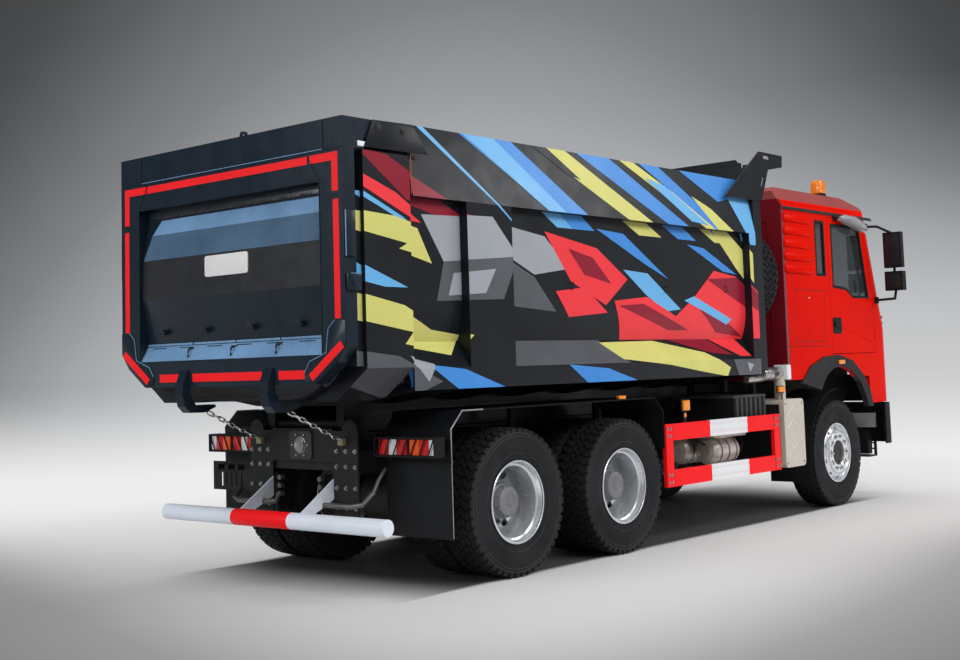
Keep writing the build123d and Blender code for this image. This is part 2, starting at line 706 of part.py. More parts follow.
with BuildPart() as leaf_springs:
    for side in SIDES:
        low, high = mirrored_range(side, SPRING_Y - SPRING_W / 2, SPRING_Y + SPRING_W / 2)
        seat_z = AXLE_Z - BEAM_DROP
        add_spring(FRONT_AXLE_X, FRONT_SPRING_HALF, side, FRONT_SPRING_EYE_Z, seat_z, 70)
        for end in (-1, 1):
            eye_x = FRONT_AXLE_X + end * (FRONT_SPRING_HALF - 20)
            block(
                (eye_x - 30, eye_x + 30),
                (low, high),
                (FRONT_SPRING_EYE_Z - 10, RAIL_TOP_Z - RAIL_H),
            )
        bogie_x = (MIDDLE_AXLE_X + REAR_AXLE_X) / 2
        bogie_half = (MIDDLE_AXLE_X - REAR_AXLE_X) / 2
        add_spring(
            bogie_x,
            bogie_half,
            side,
            AXLE_Z + TUBE_AXLE_R + 50,
            RAIL_TOP_Z - RAIL_H - 140,
            140,
        )
        for axle_x in (MIDDLE_AXLE_X, REAR_AXLE_X):
            block((axle_x - 60, axle_x + 60), (low, high), (AXLE_Z + TUBE_AXLE_R, AXLE_Z + TUBE_AXLE_R + 32))
        xz_plate(
            [
                (bogie_x - 130, RAIL_TOP_Z - RAIL_H - 120),
                (bogie_x + 130, RAIL_TOP_Z - RAIL_H - 120),
                (bogie_x + 70, AXLE_Z - 60),
                (bogie_x - 70, AXLE_Z - 60),
            ],
            low,
            high,
        )
save(leaf_springs.part, "leaf_springs")


# ---------------------------------------------------------------- chassis frame
with BuildPart() as chassis_frame:
    for side in SIDES:
        web_low, web_high = mirrored_range(side, RAIL_OUTER_Y - RAIL_WALL, RAIL_OUTER_Y)
        flange_low, flange_high = mirrored_range(side, RAIL_OUTER_Y - RAIL_FLANGE, RAIL_OUTER_Y)
        rail_x = (RAIL_REAR_X, RAIL_FRONT_X)
        block(rail_x, (web_low, web_high), (RAIL_TOP_Z - RAIL_H, RAIL_TOP_Z))
        for flange_z in (RAIL_TOP_Z - RAIL_WALL, RAIL_TOP_Z - RAIL_H):
            block(rail_x, (flange_low, flange_high), (flange_z, flange_z + RAIL_WALL))
        ear_low, ear_high = mirrored_range(side, RAIL_OUTER_Y, RAIL_OUTER_Y + HINGE_EAR_T)
        xz_plate(
            [
                (TIP_X - 75, RAIL_TOP_Z - RAIL_H + 20),
                (TIP_X + 160, RAIL_TOP_Z - RAIL_H + 20),
                (TIP_X + 160, RAIL_TOP_Z),
                (TIP_X + 45, TIP_Z + 50),
                (TIP_X - 45, TIP_Z + 50),
                (TIP_X - 75, TIP_Z),
            ],
            ear_low,
            ear_high,
        )
    y_rod(TIP_X, TIP_Z, TIP_PIN_R, -RAIL_OUTER_Y - HINGE_EAR_T, RAIL_OUTER_Y + HINGE_EAR_T)
    inner_y = RAIL_OUTER_Y - RAIL_WALL
    for x_low, x_high, z_low, z_high in CROSS_MEMBERS:
        block((x_low, x_high), (-inner_y, inner_y), (z_low, z_high))
    for side in SIDES:
        low, high = mirrored_range(side, CAB_LUG_Y + CAB_LUG_T / 2 + MOVING_GAP, RAIL_OUTER_Y - RAIL_WALL)
        xz_plate(
            [
                (RAIL_FRONT_X - 100, CAB_PIVOT_Z - 160),
                (RAIL_FRONT_X, CAB_PIVOT_Z - 160),
                (CAB_PIVOT_X + 35, CAB_PIVOT_Z - 20),
                (CAB_PIVOT_X + 20, CAB_PIVOT_Z + 35),
                (CAB_PIVOT_X - 30, CAB_PIVOT_Z + 35),
                (RAIL_FRONT_X - 100, RAIL_TOP_Z),
            ],
            low,
            high,
        )
        pin_low, pin_high = mirrored_range(side, CAB_LUG_Y - CAB_LUG_T / 2 - 10, RAIL_OUTER_Y - RAIL_WALL)
        y_rod(CAB_PIVOT_X, CAB_PIVOT_Z, CAB_PIN_R, pin_low, pin_high)
    for side in SIDES:
        low, high = mirrored_range(side, HOIST_CHEEK_Y, HOIST_CHEEK_Y + HOIST_CHEEK_T)
        block((HOIST_X - 60, HOIST_X + 60), (low, high), (HOIST_FOOT_Z - 85, HOIST_FOOT_Z + 60))
        low, high = mirrored_range(side, HOIST_EYE_HALF_W + MOVING_GAP, HOIST_CHEEK_Y)
        y_rod(HOIST_X, HOIST_FOOT_Z, HOIST_PIN_R, low, high)
save(chassis_frame.part, "chassis_frame")

with BuildPart() as rear_plates:
    plate_x = RAIL_REAR_X - REAR_PLATE_T
    for side in SIDES:
        low, high = mirrored_range(side, REAR_PLATE_IN_Y, REAR_PLATE_OUT_Y)
        block((plate_x, RAIL_REAR_X), (low, high), (REAR_PLATE_LOW_Z, REAR_PLATE_TOP_Z))
        x_rod(side * REAR_EAR_Y, REAR_PLATE_TOP_Z, REAR_EAR_R, plate_x, RAIL_REAR_X)
    inner_y = REAR_PLATE_IN_Y + 1
    block((plate_x, RAIL_REAR_X), (-inner_y, inner_y), (COUPLING_Z - 120, COUPLING_Z + 120))
    with Locations(Plane(origin=(plate_x, 0, COUPLING_Z), x_dir=(0, 1, 0), z_dir=(-1, 0, 0))):
        with GridLocations(COUPLING_PITCH_Y, COUPLING_PITCH_Z, 2, 2):
            Hole(COUPLING_HOLE_R, depth=REAR_PLATE_T)
    block((plate_x, plate_x + BRACKET_T), (REAR_PLATE_OUT_Y - 1, BRACKET_OUT_Y), (BRACKET_LOW_Z, BRACKET_TOP_Z))
    with BuildSketch(Plane(origin=(plate_x, 0, 0), x_dir=(0, 1, 0), z_dir=(1, 0, 0))) as slots:
        slot_z = BRACKET_LOW_Z + BRACKET_SLOT_H * 0.75
        for slot_y in BRACKET_SLOT_YS:
            with Locations((slot_y, slot_z)):
                SlotOverall(BRACKET_SLOT_H, BRACKET_SLOT_W, rotation=90)
    extrude(slots.sketch, amount=BRACKET_T, mode=Mode.SUBTRACT)
    for coupling_y in AIR_COUPLING_YS:
        coupling_z = BRACKET_TOP_Z - 2 * AIR_COUPLING_R
        x_rod(coupling_y, coupling_z, AIR_COUPLING_R, plate_x - AIR_COUPLING_LENGTH, plate_x + BRACKET_T)
save(rear_plates.part, "rear_plates")

with BuildPart() as engine:
    block(ENGINE_X, (-ENGINE_HALF_W, ENGINE_HALF_W), ENGINE_Z)
    gearbox_x = GEARBOX_REAR_X + GEARBOX_BOSS_LENGTH
    block((gearbox_x, ENGINE_X[0]), (-GEARBOX_HALF_W, GEARBOX_HALF_W), GEARBOX_Z)
    x_rod(0, GEARBOX_SHAFT_Z, GEARBOX_BOSS_R, GEARBOX_REAR_X, gearbox_x)
    block((ENGINE_X[1], RADIATOR_X[0]), (-60, 60), (900, 1000))
    block(RADIATOR_X, (-RADIATOR_HALF_W, RADIATOR_HALF_W), RADIATOR_Z)
save(engine.part, "engine_block")

with BuildPart() as fuel_tank:
    block(FUEL_TANK_X, FUEL_TANK_Y, FUEL_TANK_Z)
    fillet(fuel_tank.edges().filter_by(Axis.X), radius=FUEL_TANK_CORNER_R)
    with BuildPart(mode=Mode.PRIVATE) as straps:
        for strap_x in FUEL_STRAP_XS:
            with BuildPart(mode=Mode.PRIVATE) as strap:
                block(
                    (strap_x - FUEL_STRAP_W / 2, strap_x + FUEL_STRAP_W / 2),
                    (FUEL_TANK_Y[0] - FUEL_STRAP_T, FUEL_TANK_Y[1] + FUEL_STRAP_T),
                    (FUEL_TANK_Z[0] - FUEL_STRAP_T, FUEL_TANK_Z[1] + FUEL_STRAP_T),
                )
                fillet(strap.edges().filter_by(Axis.X), radius=FUEL_TANK_CORNER_R + FUEL_STRAP_T)
            add(strap.part)
            arm_x = (strap_x - FUEL_STRAP_W / 2, strap_x + FUEL_STRAP_W / 2)
            block(arm_x, (RAIL_OUTER_Y, FUEL_TANK_Y[0]), FUEL_ARM_Z)
    add(straps.part)
    cap_x = FUEL_TANK_X[0] + 2 * FUEL_CAP_R
    z_rod(cap_x, FUEL_TANK_Y[1] - 2 * FUEL_CAP_R, FUEL_CAP_R, FUEL_TANK_Z[1] - 1, FUEL_TANK_Z[1] + FUEL_CAP_H)
save(fuel_tank.part, "fuel_tank")

with BuildPart() as air_tanks:
    for tank_y in AIR_TANK_YS:
        rear_end = [(AIR_TANK_X[0] + along, radius) for along, radius in AIR_TANK_DOME]
        front_end = [(AIR_TANK_X[1] - along, radius) for along, radius in reversed(AIR_TANK_DOME)]
        with BuildPart(mode=Mode.PRIVATE) as tank:
            with BuildSketch(Plane.XY):
                with BuildLine():
                    Polyline(*rear_end, *front_end, close=True)
                make_face()
            revolve(axis=Axis.X)
        add(Pos(0, tank_y, AIR_TANK_Z) * tank.part)
    block(BATTERY_X, BATTERY_Y, BATTERY_Z)
    block(AIR_SHELF_X, (-AIR_SHELF_OUT_Y, -RAIL_OUTER_Y), AIR_SHELF_Z)
    block(BATTERY_FOOT_X, (-1000, BATTERY_Y[1]), (AIR_SHELF_Z[1] - 6, BATTERY_Z[0] + 5))
    for tank_y in AIR_TANK_YS:
        block((640, 740), (tank_y - 60, tank_y + 60), (AIR_TANK_Z + 60, AIR_SHELF_Z[0] + 1))
save(air_tanks.part, "air_tanks")

with BuildPart() as side_guards:
    for side in SIDES:
        low, high = mirrored_range(side, GUARD_IN_Y, GUARD_OUT_Y)
        bead_low, bead_high = mirrored_range(side, GUARD_OUT_Y - GUARD_BEAD_DEPTH, GUARD_OUT_Y + 1)
        for z_low in (GUARD_LOW_Z, GUARD_HIGH_Z - GUARD_RAIL_H):
            block((GUARD_REAR_X, GUARD_FRONT_X), (low, high), (z_low, z_low + GUARD_RAIL_H))
            for bead_z in (z_low + GUARD_RAIL_H * 0.2, z_low + GUARD_RAIL_H * 0.8 - GUARD_BEAD_H):
                block(
                    (GUARD_REAR_X + GUARD_POST_W, GUARD_FRONT_X - GUARD_POST_W),
                    (bead_low, bead_high),
                    (bead_z, bead_z + GUARD_BEAD_H),
                    mode=Mode.SUBTRACT,
                )
        for x_low in (GUARD_REAR_X, GUARD_FRONT_X - GUARD_POST_W):
            block((x_low, x_low + GUARD_POST_W), (low, high), (GUARD_LOW_Z, GUARD_HIGH_Z))
        arm_low, arm_high = mirrored_range(side, RAIL_OUTER_Y, GUARD_IN_Y + 5)
        for x_low in (GUARD_REAR_X + 20, GUARD_FRONT_X - 60):
            block((x_low, x_low + GUARD_ARM_W), (arm_low, arm_high), GUARD_ARM_Z)
save(side_guards.part, "side_guards")

with BuildPart() as exhaust:
    block((EXHAUST_X, EXHAUST_X + EXHAUST_LENGTH), EXHAUST_Y, EXHAUST_Z)
    fillet(exhaust.edges().filter_by(Axis.Y), radius=EXHAUST_CORNER_R)
    middle_x = EXHAUST_X + EXHAUST_LENGTH / 2
    for point_z, end_z in EXHAUST_CHEVRONS:
        line = CHEVRON_LINE
        xz_plate(
            [
                (middle_x - CHEVRON_HALF_W, end_z),
                (middle_x, point_z),
                (middle_x + CHEVRON_HALF_W, end_z),
                (middle_x + CHEVRON_HALF_W, end_z - line),
                (middle_x, point_z - line),
                (middle_x - CHEVRON_HALF_W, end_z - line),
            ],
            EXHAUST_Y[0] - 1,
            EXHAUST_Y[0] + CHEVRON_DEPTH,
            mode=Mode.SUBTRACT,
        )
    block((EXHAUST_X + 100, EXHAUST_X + 300), (EXHAUST_Y[1] - 5, -RAIL_OUTER_Y), (800, 900))
    z_rod(EXHAUST_X + 130, PIPE_Y, PIPE_R - 6, EXHAUST_Z[1] - 10, PIPE_Z)
    x_rod(PIPE_Y, PIPE_Z, PIPE_R, PIPE_REAR_X, EXHAUST_X + 190)
save(exhaust.part, "exhaust")

with BuildPart() as front_bumper:
    with BuildSketch(Plane.XY.offset(BUMPER_LOW_Z)):
        for inset, mode in ((0, Mode.ADD), (BUMPER_WALL, Mode.SUBTRACT)):
            half_w = BUMPER_HALF_W - inset
            front_x = OVERALL_FRONT_X - inset
            corner = BUMPER_CORNER_R - inset
            with BuildLine():
                FilletPolyline(
                    (BUMPER_BACK_X, -half_w),
                    (front_x, -half_w),
                    (front_x, half_w),
                    (BUMPER_BACK_X, half_w),
                    radius=corner,
                )
                Line((BUMPER_BACK_X, half_w), (BUMPER_BACK_X, -half_w))
            make_face(mode=mode)
    extrude(amount=BUMPER_TOP_Z - BUMPER_LOW_Z)
    for side in SIDES:
        low, high = mirrored_range(side, *BUMPER_ARM_Y)
        block((RAIL_FRONT_X, OVERALL_FRONT_X - BUMPER_WALL + 5), (low, high), BUMPER_ARM_Z)
        low, high = mirrored_range(side, *HEAD_LAMP_Y)
        lamp_x = (OVERALL_FRONT_X - HEAD_LAMP_DEPTH, OVERALL_FRONT_X + 1)
        block(lamp_x, (low, high), HEAD_LAMP_Z, mode=Mode.SUBTRACT)
        low, high = mirrored_range(side, *STEP_Y)
        block(STEP_X, (low, high), (STEP_Z, STEP_Z + STEP_T))
        for hanger_y in STEP_Y:
            low, high = sorted((side * hanger_y, side * (hanger_y - STEP_HANGER_W)))
            if hanger_y == STEP_Y[0]:
                low, high = sorted((side * hanger_y, side * (hanger_y + STEP_HANGER_W)))
            block((STEP_X[1] - STEP_HANGER_W, STEP_X[1]), (low, high), (STEP_Z, BUMPER_LOW_Z + 40))
save(front_bumper.part, "front_bumper")

with BuildPart() as head_lamps:
    for side in SIDES:
        low, high = mirrored_range(side, HEAD_LAMP_Y[0] + SEAT_GAP, HEAD_LAMP_Y[1] - SEAT_GAP)
        with BuildPart(mode=Mode.PRIVATE) as lamp:
            block(
                (OVERALL_FRONT_X - HEAD_LAMP_DEPTH, OVERALL_FRONT_X - 4),
                (low, high),
                (HEAD_LAMP_Z[0] + SEAT_GAP, HEAD_LAMP_Z[1] - SEAT_GAP),
            )
            fillet(lamp.faces().sort_by(Axis.X)[-1].edges(), radius=10)
        add(lamp.part)
save(head_lamps.part, "head_lamps")

with BuildPart() as mudguards:
    for side in SIDES:
        low, high = mirrored_range(side, *FRONT_MUDGUARD_Y)
        with BuildSketch(Plane.XZ.offset(-high)) as sketch:
            rear = FRONT_AXLE_X - GUARD_R
            with BuildLine():
                flap = Line((rear - MUDGUARD_T / 2, FLAP_LOW_Z), (rear - MUDGUARD_T / 2, AXLE_Z))
                CenterArc((FRONT_AXLE_X, AXLE_Z), GUARD_R + MUDGUARD_T / 2, 90, 90)
            trace(line_width=MUDGUARD_T)
        extrude(sketch.sketch, amount=high - low)
        arm_low, arm_high = mirrored_range(side, RAIL_OUTER_Y, FRONT_MUDGUARD_Y[0] + 5)
        block(FRONT_MUDGUARD_ARM_X, (arm_low, arm_high), FRONT_MUDGUARD_ARM_Z)
        low, high = mirrored_range(side, *REAR_MUDGUARD_Y)
        rear_x, front_x = REAR_MUDGUARD_X
        chamfer_x = REAR_MUDGUARD_TOP_Z - REAR_MUDGUARD_SHOULDER_Z
        with BuildSketch(Plane.XZ.offset(-high)) as sketch:
            with BuildLine():
                Polyline(
                    (rear_x, REAR_FLAP_LOW_Z),
                    (rear_x, REAR_MUDGUARD_SHOULDER_Z),
                    (rear_x + chamfer_x, REAR_MUDGUARD_TOP_Z),
                    (front_x - chamfer_x, REAR_MUDGUARD_TOP_Z),
                    (front_x, REAR_MUDGUARD_SHOULDER_Z),
                    (front_x, REAR_MUDGUARD_FRONT_LOW_Z),
                )
            trace(line_width=MUDGUARD_T)
        extrude(sketch.sketch, amount=high - low)
        for arm_x in REAR_MUDGUARD_ARM_XS:
            arm_low, arm_high = mirrored_range(side, RAIL_OUTER_Y, REAR_MUDGUARD_Y[0] + 40)
            block((arm_x, arm_x + REAR_MUDGUARD_ARM_W), (arm_low, arm_high), REAR_MUDGUARD_ARM_Z)
            post_low, post_high = mirrored_range(side, REAR_MUDGUARD_Y[0], REAR_MUDGUARD_Y[0] + 40)
            block(
                (arm_x, arm_x + REAR_MUDGUARD_ARM_W),
                (post_low, post_high),
                (REAR_MUDGUARD_ARM_Z[0], REAR_MUDGUARD_TOP_Z - 1),
            )
save(mudguards.part, "mudguards")

with BuildPart() as tail_lamps:
    for side in SIDES:
        low, high = mirrored_range(side, *LAMP_Y)
        block((LAMP_X, LAMP_X + LAMP_DEPTH), (low, high), LAMP_Z)
        arm_low, arm_high = mirrored_range(side, RAIL_OUTER_Y + HINGE_EAR_T, LAMP_Y[0] + 5)
        block((LAMP_X + 20, LAMP_X + 60), (arm_low, arm_high), LAMP_ARM_Z)
        guard_x = (LAMP_GUARD_X, LAMP_GUARD_X + LAMP_GUARD_BAR)
        for bar_z in (LAMP_Z[0], LAMP_Z[1] - LAMP_GUARD_BAR):
            block(guard_x, (low, high), (bar_z, bar_z + LAMP_GUARD_BAR))
        for bar_y in (LAMP_Y[0], LAMP_Y[1] - LAMP_GUARD_BAR):
            low, high = mirrored_range(side, bar_y, bar_y + LAMP_GUARD_BAR)
            block((LAMP_GUARD_X, LAMP_X + 1), (low, high), LAMP_Z)
        span = (LAMP_Y[1] - LAMP_Y[0]) / LAMP_GUARD_WIRES
        wire_x = LAMP_GUARD_X + LAMP_GUARD_BAR / 2
        for step in range(LAMP_GUARD_WIRES):
            foot_y = LAMP_Y[0] + (step + 0.5) * span - LAMP_GUARD_LEAN / 2
            low_end = (wire_x, side * foot_y, LAMP_Z[0] + LAMP_GUARD_BAR / 2)
            high_end = (wire_x, side * (foot_y + LAMP_GUARD_LEAN), LAMP_Z[1] - LAMP_GUARD_BAR / 2)
            rod_between(low_end, high_end, LAMP_GUARD_WIRE_R)
save(tail_lamps.part, "tail_lamps")

with BuildPart() as underride_bar:
    y_rod(UNDERRIDE_X, UNDERRIDE_Z, UNDERRIDE_R, -UNDERRIDE_HALF_W, UNDERRIDE_HALF_W)
    for side in SIDES:
        low, high = mirrored_range(side, *UNDERRIDE_BRACKET_Y)
        xz_plate(
            [
                (UNDERRIDE_X - 30, UNDERRIDE_Z + 30),
                (UNDERRIDE_X + 40, UNDERRIDE_Z - 10),
                (RAIL_REAR_X - REAR_PLATE_T, 620),
                (RAIL_REAR_X - REAR_PLATE_T, 760),
            ],
            low,
            high,
        )
save(underride_bar.part, "underride_bar")

with BuildPart() as spare_tyre:
    with BuildPart(mode=Mode.PRIVATE) as upright:
        add_tyre(0, 0)
    moved = Pos(SPARE_X, SPARE_Y, SPARE_Z) * Rot(0, 0, 90) * Pos(0, 0, -AXLE_Z) * upright.part
    add(moved)
save(spare_tyre.part, "spare_tyre")

with BuildPart() as spare_carrier:
    with BuildPart(mode=Mode.PRIVATE) as upright:
        add_rim(0, 0, -1)
        polygon_loft(((-TYRE_HALF_W - 20, SPARE_BOSS_R), (10, SPARE_BOSS_R)), HUB_SIDES, (0, AXLE_Z))
    moved = Pos(SPARE_X, SPARE_Y, SPARE_Z) * Rot(0, 0, 90) * Pos(0, 0, -AXLE_Z) * upright.part
    add(moved)
    post_x = (SPARE_X + TYRE_HALF_W + 10, SPARE_X + TYRE_HALF_W + 10 + SPARE_POST_W)
    for post_y in (SPARE_Y - SPARE_POST_SPREAD, SPARE_Y + SPARE_POST_SPREAD):
        half_w = SPARE_POST_W / 2
        block(post_x, (post_y - half_w, post_y + half_w), (SPARE_FOOT_Z, SPARE_Z + 2 * SPARE_POST_W))
    arm_low = SPARE_Y - SPARE_POST_SPREAD - SPARE_POST_W / 2
    arm_high = SPARE_Y + SPARE_POST_SPREAD + SPARE_POST_W / 2
    block(post_x, (arm_low, arm_high), (SPARE_Z - SPARE_POST_W, SPARE_Z + SPARE_POST_W))
    block(post_x, (arm_low, RAIL_OUTER_Y), (SPARE_FOOT_Z - 10, SPARE_FOOT_Z - 10 + SPARE_POST_W))
    for side in SIDES:
        low, high = mirrored_range(side, RAIL_OUTER_Y - RAIL_FLANGE, RAIL_OUTER_Y)
        block(post_x, (low, high), (RAIL_TOP_Z, SPARE_FOOT_Z))
save(spare_carrier.part, "spare_carrier")

# ---------------------------------------------------------------- chains
def add_chain(start, end, links):
    """Add a row of flat stadium links, each turned a quarter from the last."""
    run = Vector(*end) - Vector(*start)
    pitch = run.length / links
    for step in range(links):
        middle = Vector(*start) + run * ((step + 0.5) / links)
        normal = Vector(0, 1, 0) if step % 2 else Vector(run.Z, 0, -run.X).normalized()
        plane = Plane(origin=middle, x_dir=run, z_dir=normal)
        with BuildSketch(plane.offset(-CHAIN_WIRE / 2)) as sketch:
            outer = Rectangle(pitch + CHAIN_WIRE, CHAIN_W)
            chamfer(outer.vertices(), CHAIN_WIRE)
            Rectangle(pitch - CHAIN_WIRE, CHAIN_W - 2 * CHAIN_WIRE, mode=Mode.SUBTRACT)
        extrude(sketch.sketch, amount=CHAIN_WIRE)


# ---------------------------------------------------------------- dump body
def tub_section(inset):
    """Half-pipe outline of the tub in (y, z), inset from its outer face."""
    half_w = TUB_HALF_W - inset
    radius = TUB_CORNER_R - inset
    base = TUB_BOTTOM_Z + inset
    turn = radius * (1 - cos(pi / 4))
    with BuildLine() as line:
        Line((-half_w, LIP_Z), (-half_w, base + radius))
        ThreePointArc(
            (-half_w, base + radius),
            (-half_w + turn, base + turn),
            (-half_w + radius, base),
        )
        Line((-half_w + radius, base), (half_w - radius, base))
        ThreePointArc(
            (half_w - radius, base),
            (half_w - turn, base + turn),
            (half_w, base + radius),
        )
        Line((half_w, base + radius), (half_w, LIP_Z))
        Line((half_w, LIP_Z), (-half_w, LIP_Z))
    return line.line


def tub_block(inset, x_low, x_high):
    """Solid with the tub's outline between two x values."""
    with BuildPart() as form:
        with BuildSketch(Plane.YZ.offset(x_low)):
            add(tub_section(inset))
            make_face()
        extrude(amount=x_high - x_low)
    return form.part


with BuildPart() as body_tub:
    add(tub_block(0, TUB_REAR_X, TUB_FRONT_X))
    add(tub_block(TUB_WALL, TUB_REAR_X - 1, TUB_FRONT_X + 1), mode=Mode.SUBTRACT)
save(body_tub.part, "body_tub")


def side_outline(side, half_outline):
    """Turn a right-hand (y, z) outline into one for the given side."""
    points = [(side * y, z) for y, z in half_outline]
    return points if side > 0 else list(reversed(points))


with BuildPart() as body_side_frames:
    inner_y = TUB_HALF_W - 80
    panel = [
        (BODY_HALF_W, CORNER_TOP_Z),
        (inner_y, CORNER_TOP_Z),
        (inner_y, 1600),
        (TUB_HALF_W - TUB_CORNER_R, TUB_BOTTOM_Z),
        (TUB_HALF_W - TUB_CORNER_R, TUB_BOTTOM_Z - 8),
        (950, TUB_BOTTOM_Z - 8),
        (BODY_HALF_W, 1545),
    ]
    post = [(BODY_HALF_W, LIP_Z), (inner_y, LIP_Z), (inner_y, 1560), (BODY_HALF_W, 1500)]
    skirt = [
        (BODY_HALF_W, SKIRT_BOTTOM_Z),
        (BODY_HALF_W, LEDGE_BOTTOM_Z),
        (1118, LEDGE_TOP_Z),
        (1100, LEDGE_TOP_Z - 12),
        (BODY_HALF_W - FRAME_WALL, LEDGE_BOTTOM_Z - 6),
        (BODY_HALF_W - FRAME_WALL, SKIRT_BOTTOM_Z),
    ]
    top_rail = [
        (BODY_HALF_W, LIP_Z),
        (TOP_RAIL_Y, TOP_RAIL_Z),
        (TOP_RAIL_Y - 75, TOP_RAIL_Z),
        (TUB_HALF_W - TUB_WALL, LIP_Z),
    ]
    for side in SIDES:
        yz_plate(side_outline(side, panel), CORNER_REAR_X, CORNER_FRONT_X)
        for x_low, x_high in BODY_POSTS:
            yz_plate(side_outline(side, post), x_low, x_high)
        yz_plate(side_outline(side, skirt), CORNER_FRONT_X - 1, TUB_FRONT_X)
        yz_plate(side_outline(side, top_rail), TOP_RAIL_REAR_X, TUB_FRONT_X)
        low, high = mirrored_range(side, HINGE_PLATE_Y, HINGE_PLATE_Y + HINGE_PLATE_T)
        xz_plate(
            [
                (CORNER_REAR_X + 40, CORNER_TOP_Z - 30),
                (CORNER_FRONT_X, CORNER_TOP_Z - 30),
                (TOP_RAIL_REAR_X + 5, GATE_TOP_Z - 10),
                (GATE_HINGE_X - 60, GATE_TOP_Z),
                (GATE_HINGE_X - 90, GATE_HINGE_Z - 40),
            ],
            low,
            high,
        )
        pin_low, pin_high = mirrored_range(side, HINGE_PLATE_Y, GATE_HALF_W)
        y_rod(GATE_HINGE_X, GATE_HINGE_Z, GATE_PIN_R, pin_low, pin_high)
        rear_low, rear_high = mirrored_range(side, TUB_HALF_W - 60, TUB_HALF_W + 40)
        block((TUB_REAR_X, CORNER_REAR_X + 1), (rear_low, rear_high), (1560, LIP_Z))
    add(tub_block(0, TUB_REAR_X - 1, TUB_FRONT_X + 1), mode=Mode.SUBTRACT)
save(body_side_frames.part, "body_side_frames")

with BuildPart() as headboard:
    half_board = [
        (1165, TUB_BOTTOM_Z + 420),
        (1165, HEADBOARD_TOP_Z - 120),
        (1075, HEADBOARD_TOP_Z),
    ]
    low_edge = [(900, TUB_BOTTOM_Z + 120), (TUB_HALF_W - TUB_CORNER_R, TUB_BOTTOM_Z)]
    right = list(reversed(low_edge)) + half_board
    outline = right + [(-y, z) for y, z in reversed(right)]
    yz_plate(outline, TUB_FRONT_X, TUB_FRONT_X + FRAME_WALL)
    rib_x = (TUB_FRONT_X + FRAME_WALL, HEADBOARD_RIB_X)
    for rib_z in HEADBOARD_RIB_ZS:
        block(rib_x, (-HEADBOARD_RIB_HALF_W, HEADBOARD_RIB_HALF_W), (rib_z, rib_z + HEADBOARD_RIB_H))
    for side in SIDES:
        low, high = mirrored_range(side, 1100, BODY_HALF_W - 10)
        block((TUB_FRONT_X, HEADBOARD_POST_X), (low, high), (1420, 3040))
        low, high = mirrored_range(side, BODY_HALF_W - WING_T, BODY_HALF_W)
        xz_plate(WING_OUTLINE, low, high)
        with BuildSketch(Plane.XZ.offset(-high)) as slots:
            for slot_x, slot_z, length, width, turn in WING_SLOTS:
                with Locations((slot_x, slot_z)):
                    SlotOverall(length, width, rotation=turn)
        extrude(slots.sketch, amount=high - low, mode=Mode.SUBTRACT)
        low, high = mirrored_range(side, 1150, 1240)
        block((TUB_FRONT_X, HEADBOARD_RIB_X), (low, high), (3040, HEADBOARD_TOP_Z - 60))
        low, high = mirrored_range(side, 350, 420)
        block((TUB_FRONT_X, HEADBOARD_RIB_X), (low, high), (TUB_BOTTOM_Z, HEADBOARD_RIB_ZS[-1]))
        arm_y = HOIST_COVER_R + MOVING_GAP
        low, high = mirrored_range(side, arm_y, arm_y + HOIST_CHEEK_T)
        xz_plate(
            [
                (TUB_FRONT_X + FRAME_WALL, HOIST_TRUNNION_Z - 180),
                (HOIST_X + 50, HOIST_TRUNNION_Z - 50),
                (HOIST_X + 50, HOIST_TRUNNION_Z + 50),
                (TUB_FRONT_X + FRAME_WALL, HOIST_TRUNNION_Z + 180),
            ],
            low,
            high,
        )
        low, high = mirrored_range(side, HOIST_COVER_R - 8, arm_y)
        y_rod(HOIST_X, HOIST_TRUNNION_Z, HOIST_PIN_R, low, high)
save(headboard.part, "headboard")

with BuildPart() as body_underframe:
    for side in SIDES:
        low, high = mirrored_range(side, RUNNER_Y - RUNNER_W / 2, RUNNER_Y + RUNNER_W / 2)
        block((TIP_X, TUB_FRONT_X), (low, high), (RAIL_TOP_Z + 10, TUB_BOTTOM_Z))
        y_rod(TIP_X, TIP_Z, TIP_BOSS_R, low, high)
        block((TIP_X - TIP_BOSS_R, TIP_X + 5), (low, high), (TIP_Z, TUB_BOTTOM_Z))
        y_rod(TIP_X, TIP_Z, TIP_PIN_R + RUNNING_GAP, low, high, mode=Mode.SUBTRACT)
    bearer = [
        (1238, 1400),
        (1238, SKIRT_BOTTOM_Z + 3),
        (500, 1285),
        (-500, 1285),
        (-1238, SKIRT_BOTTOM_Z + 3),
        (-1238, 1400),
    ]
    for bearer_x in BODY_BEARERS:
        yz_plate(bearer, bearer_x - 30, bearer_x + 30)
    add(tub_block(0, TUB_REAR_X - 1, TUB_FRONT_X + 1), mode=Mode.SUBTRACT)
save(body_underframe.part, "body_underframe")

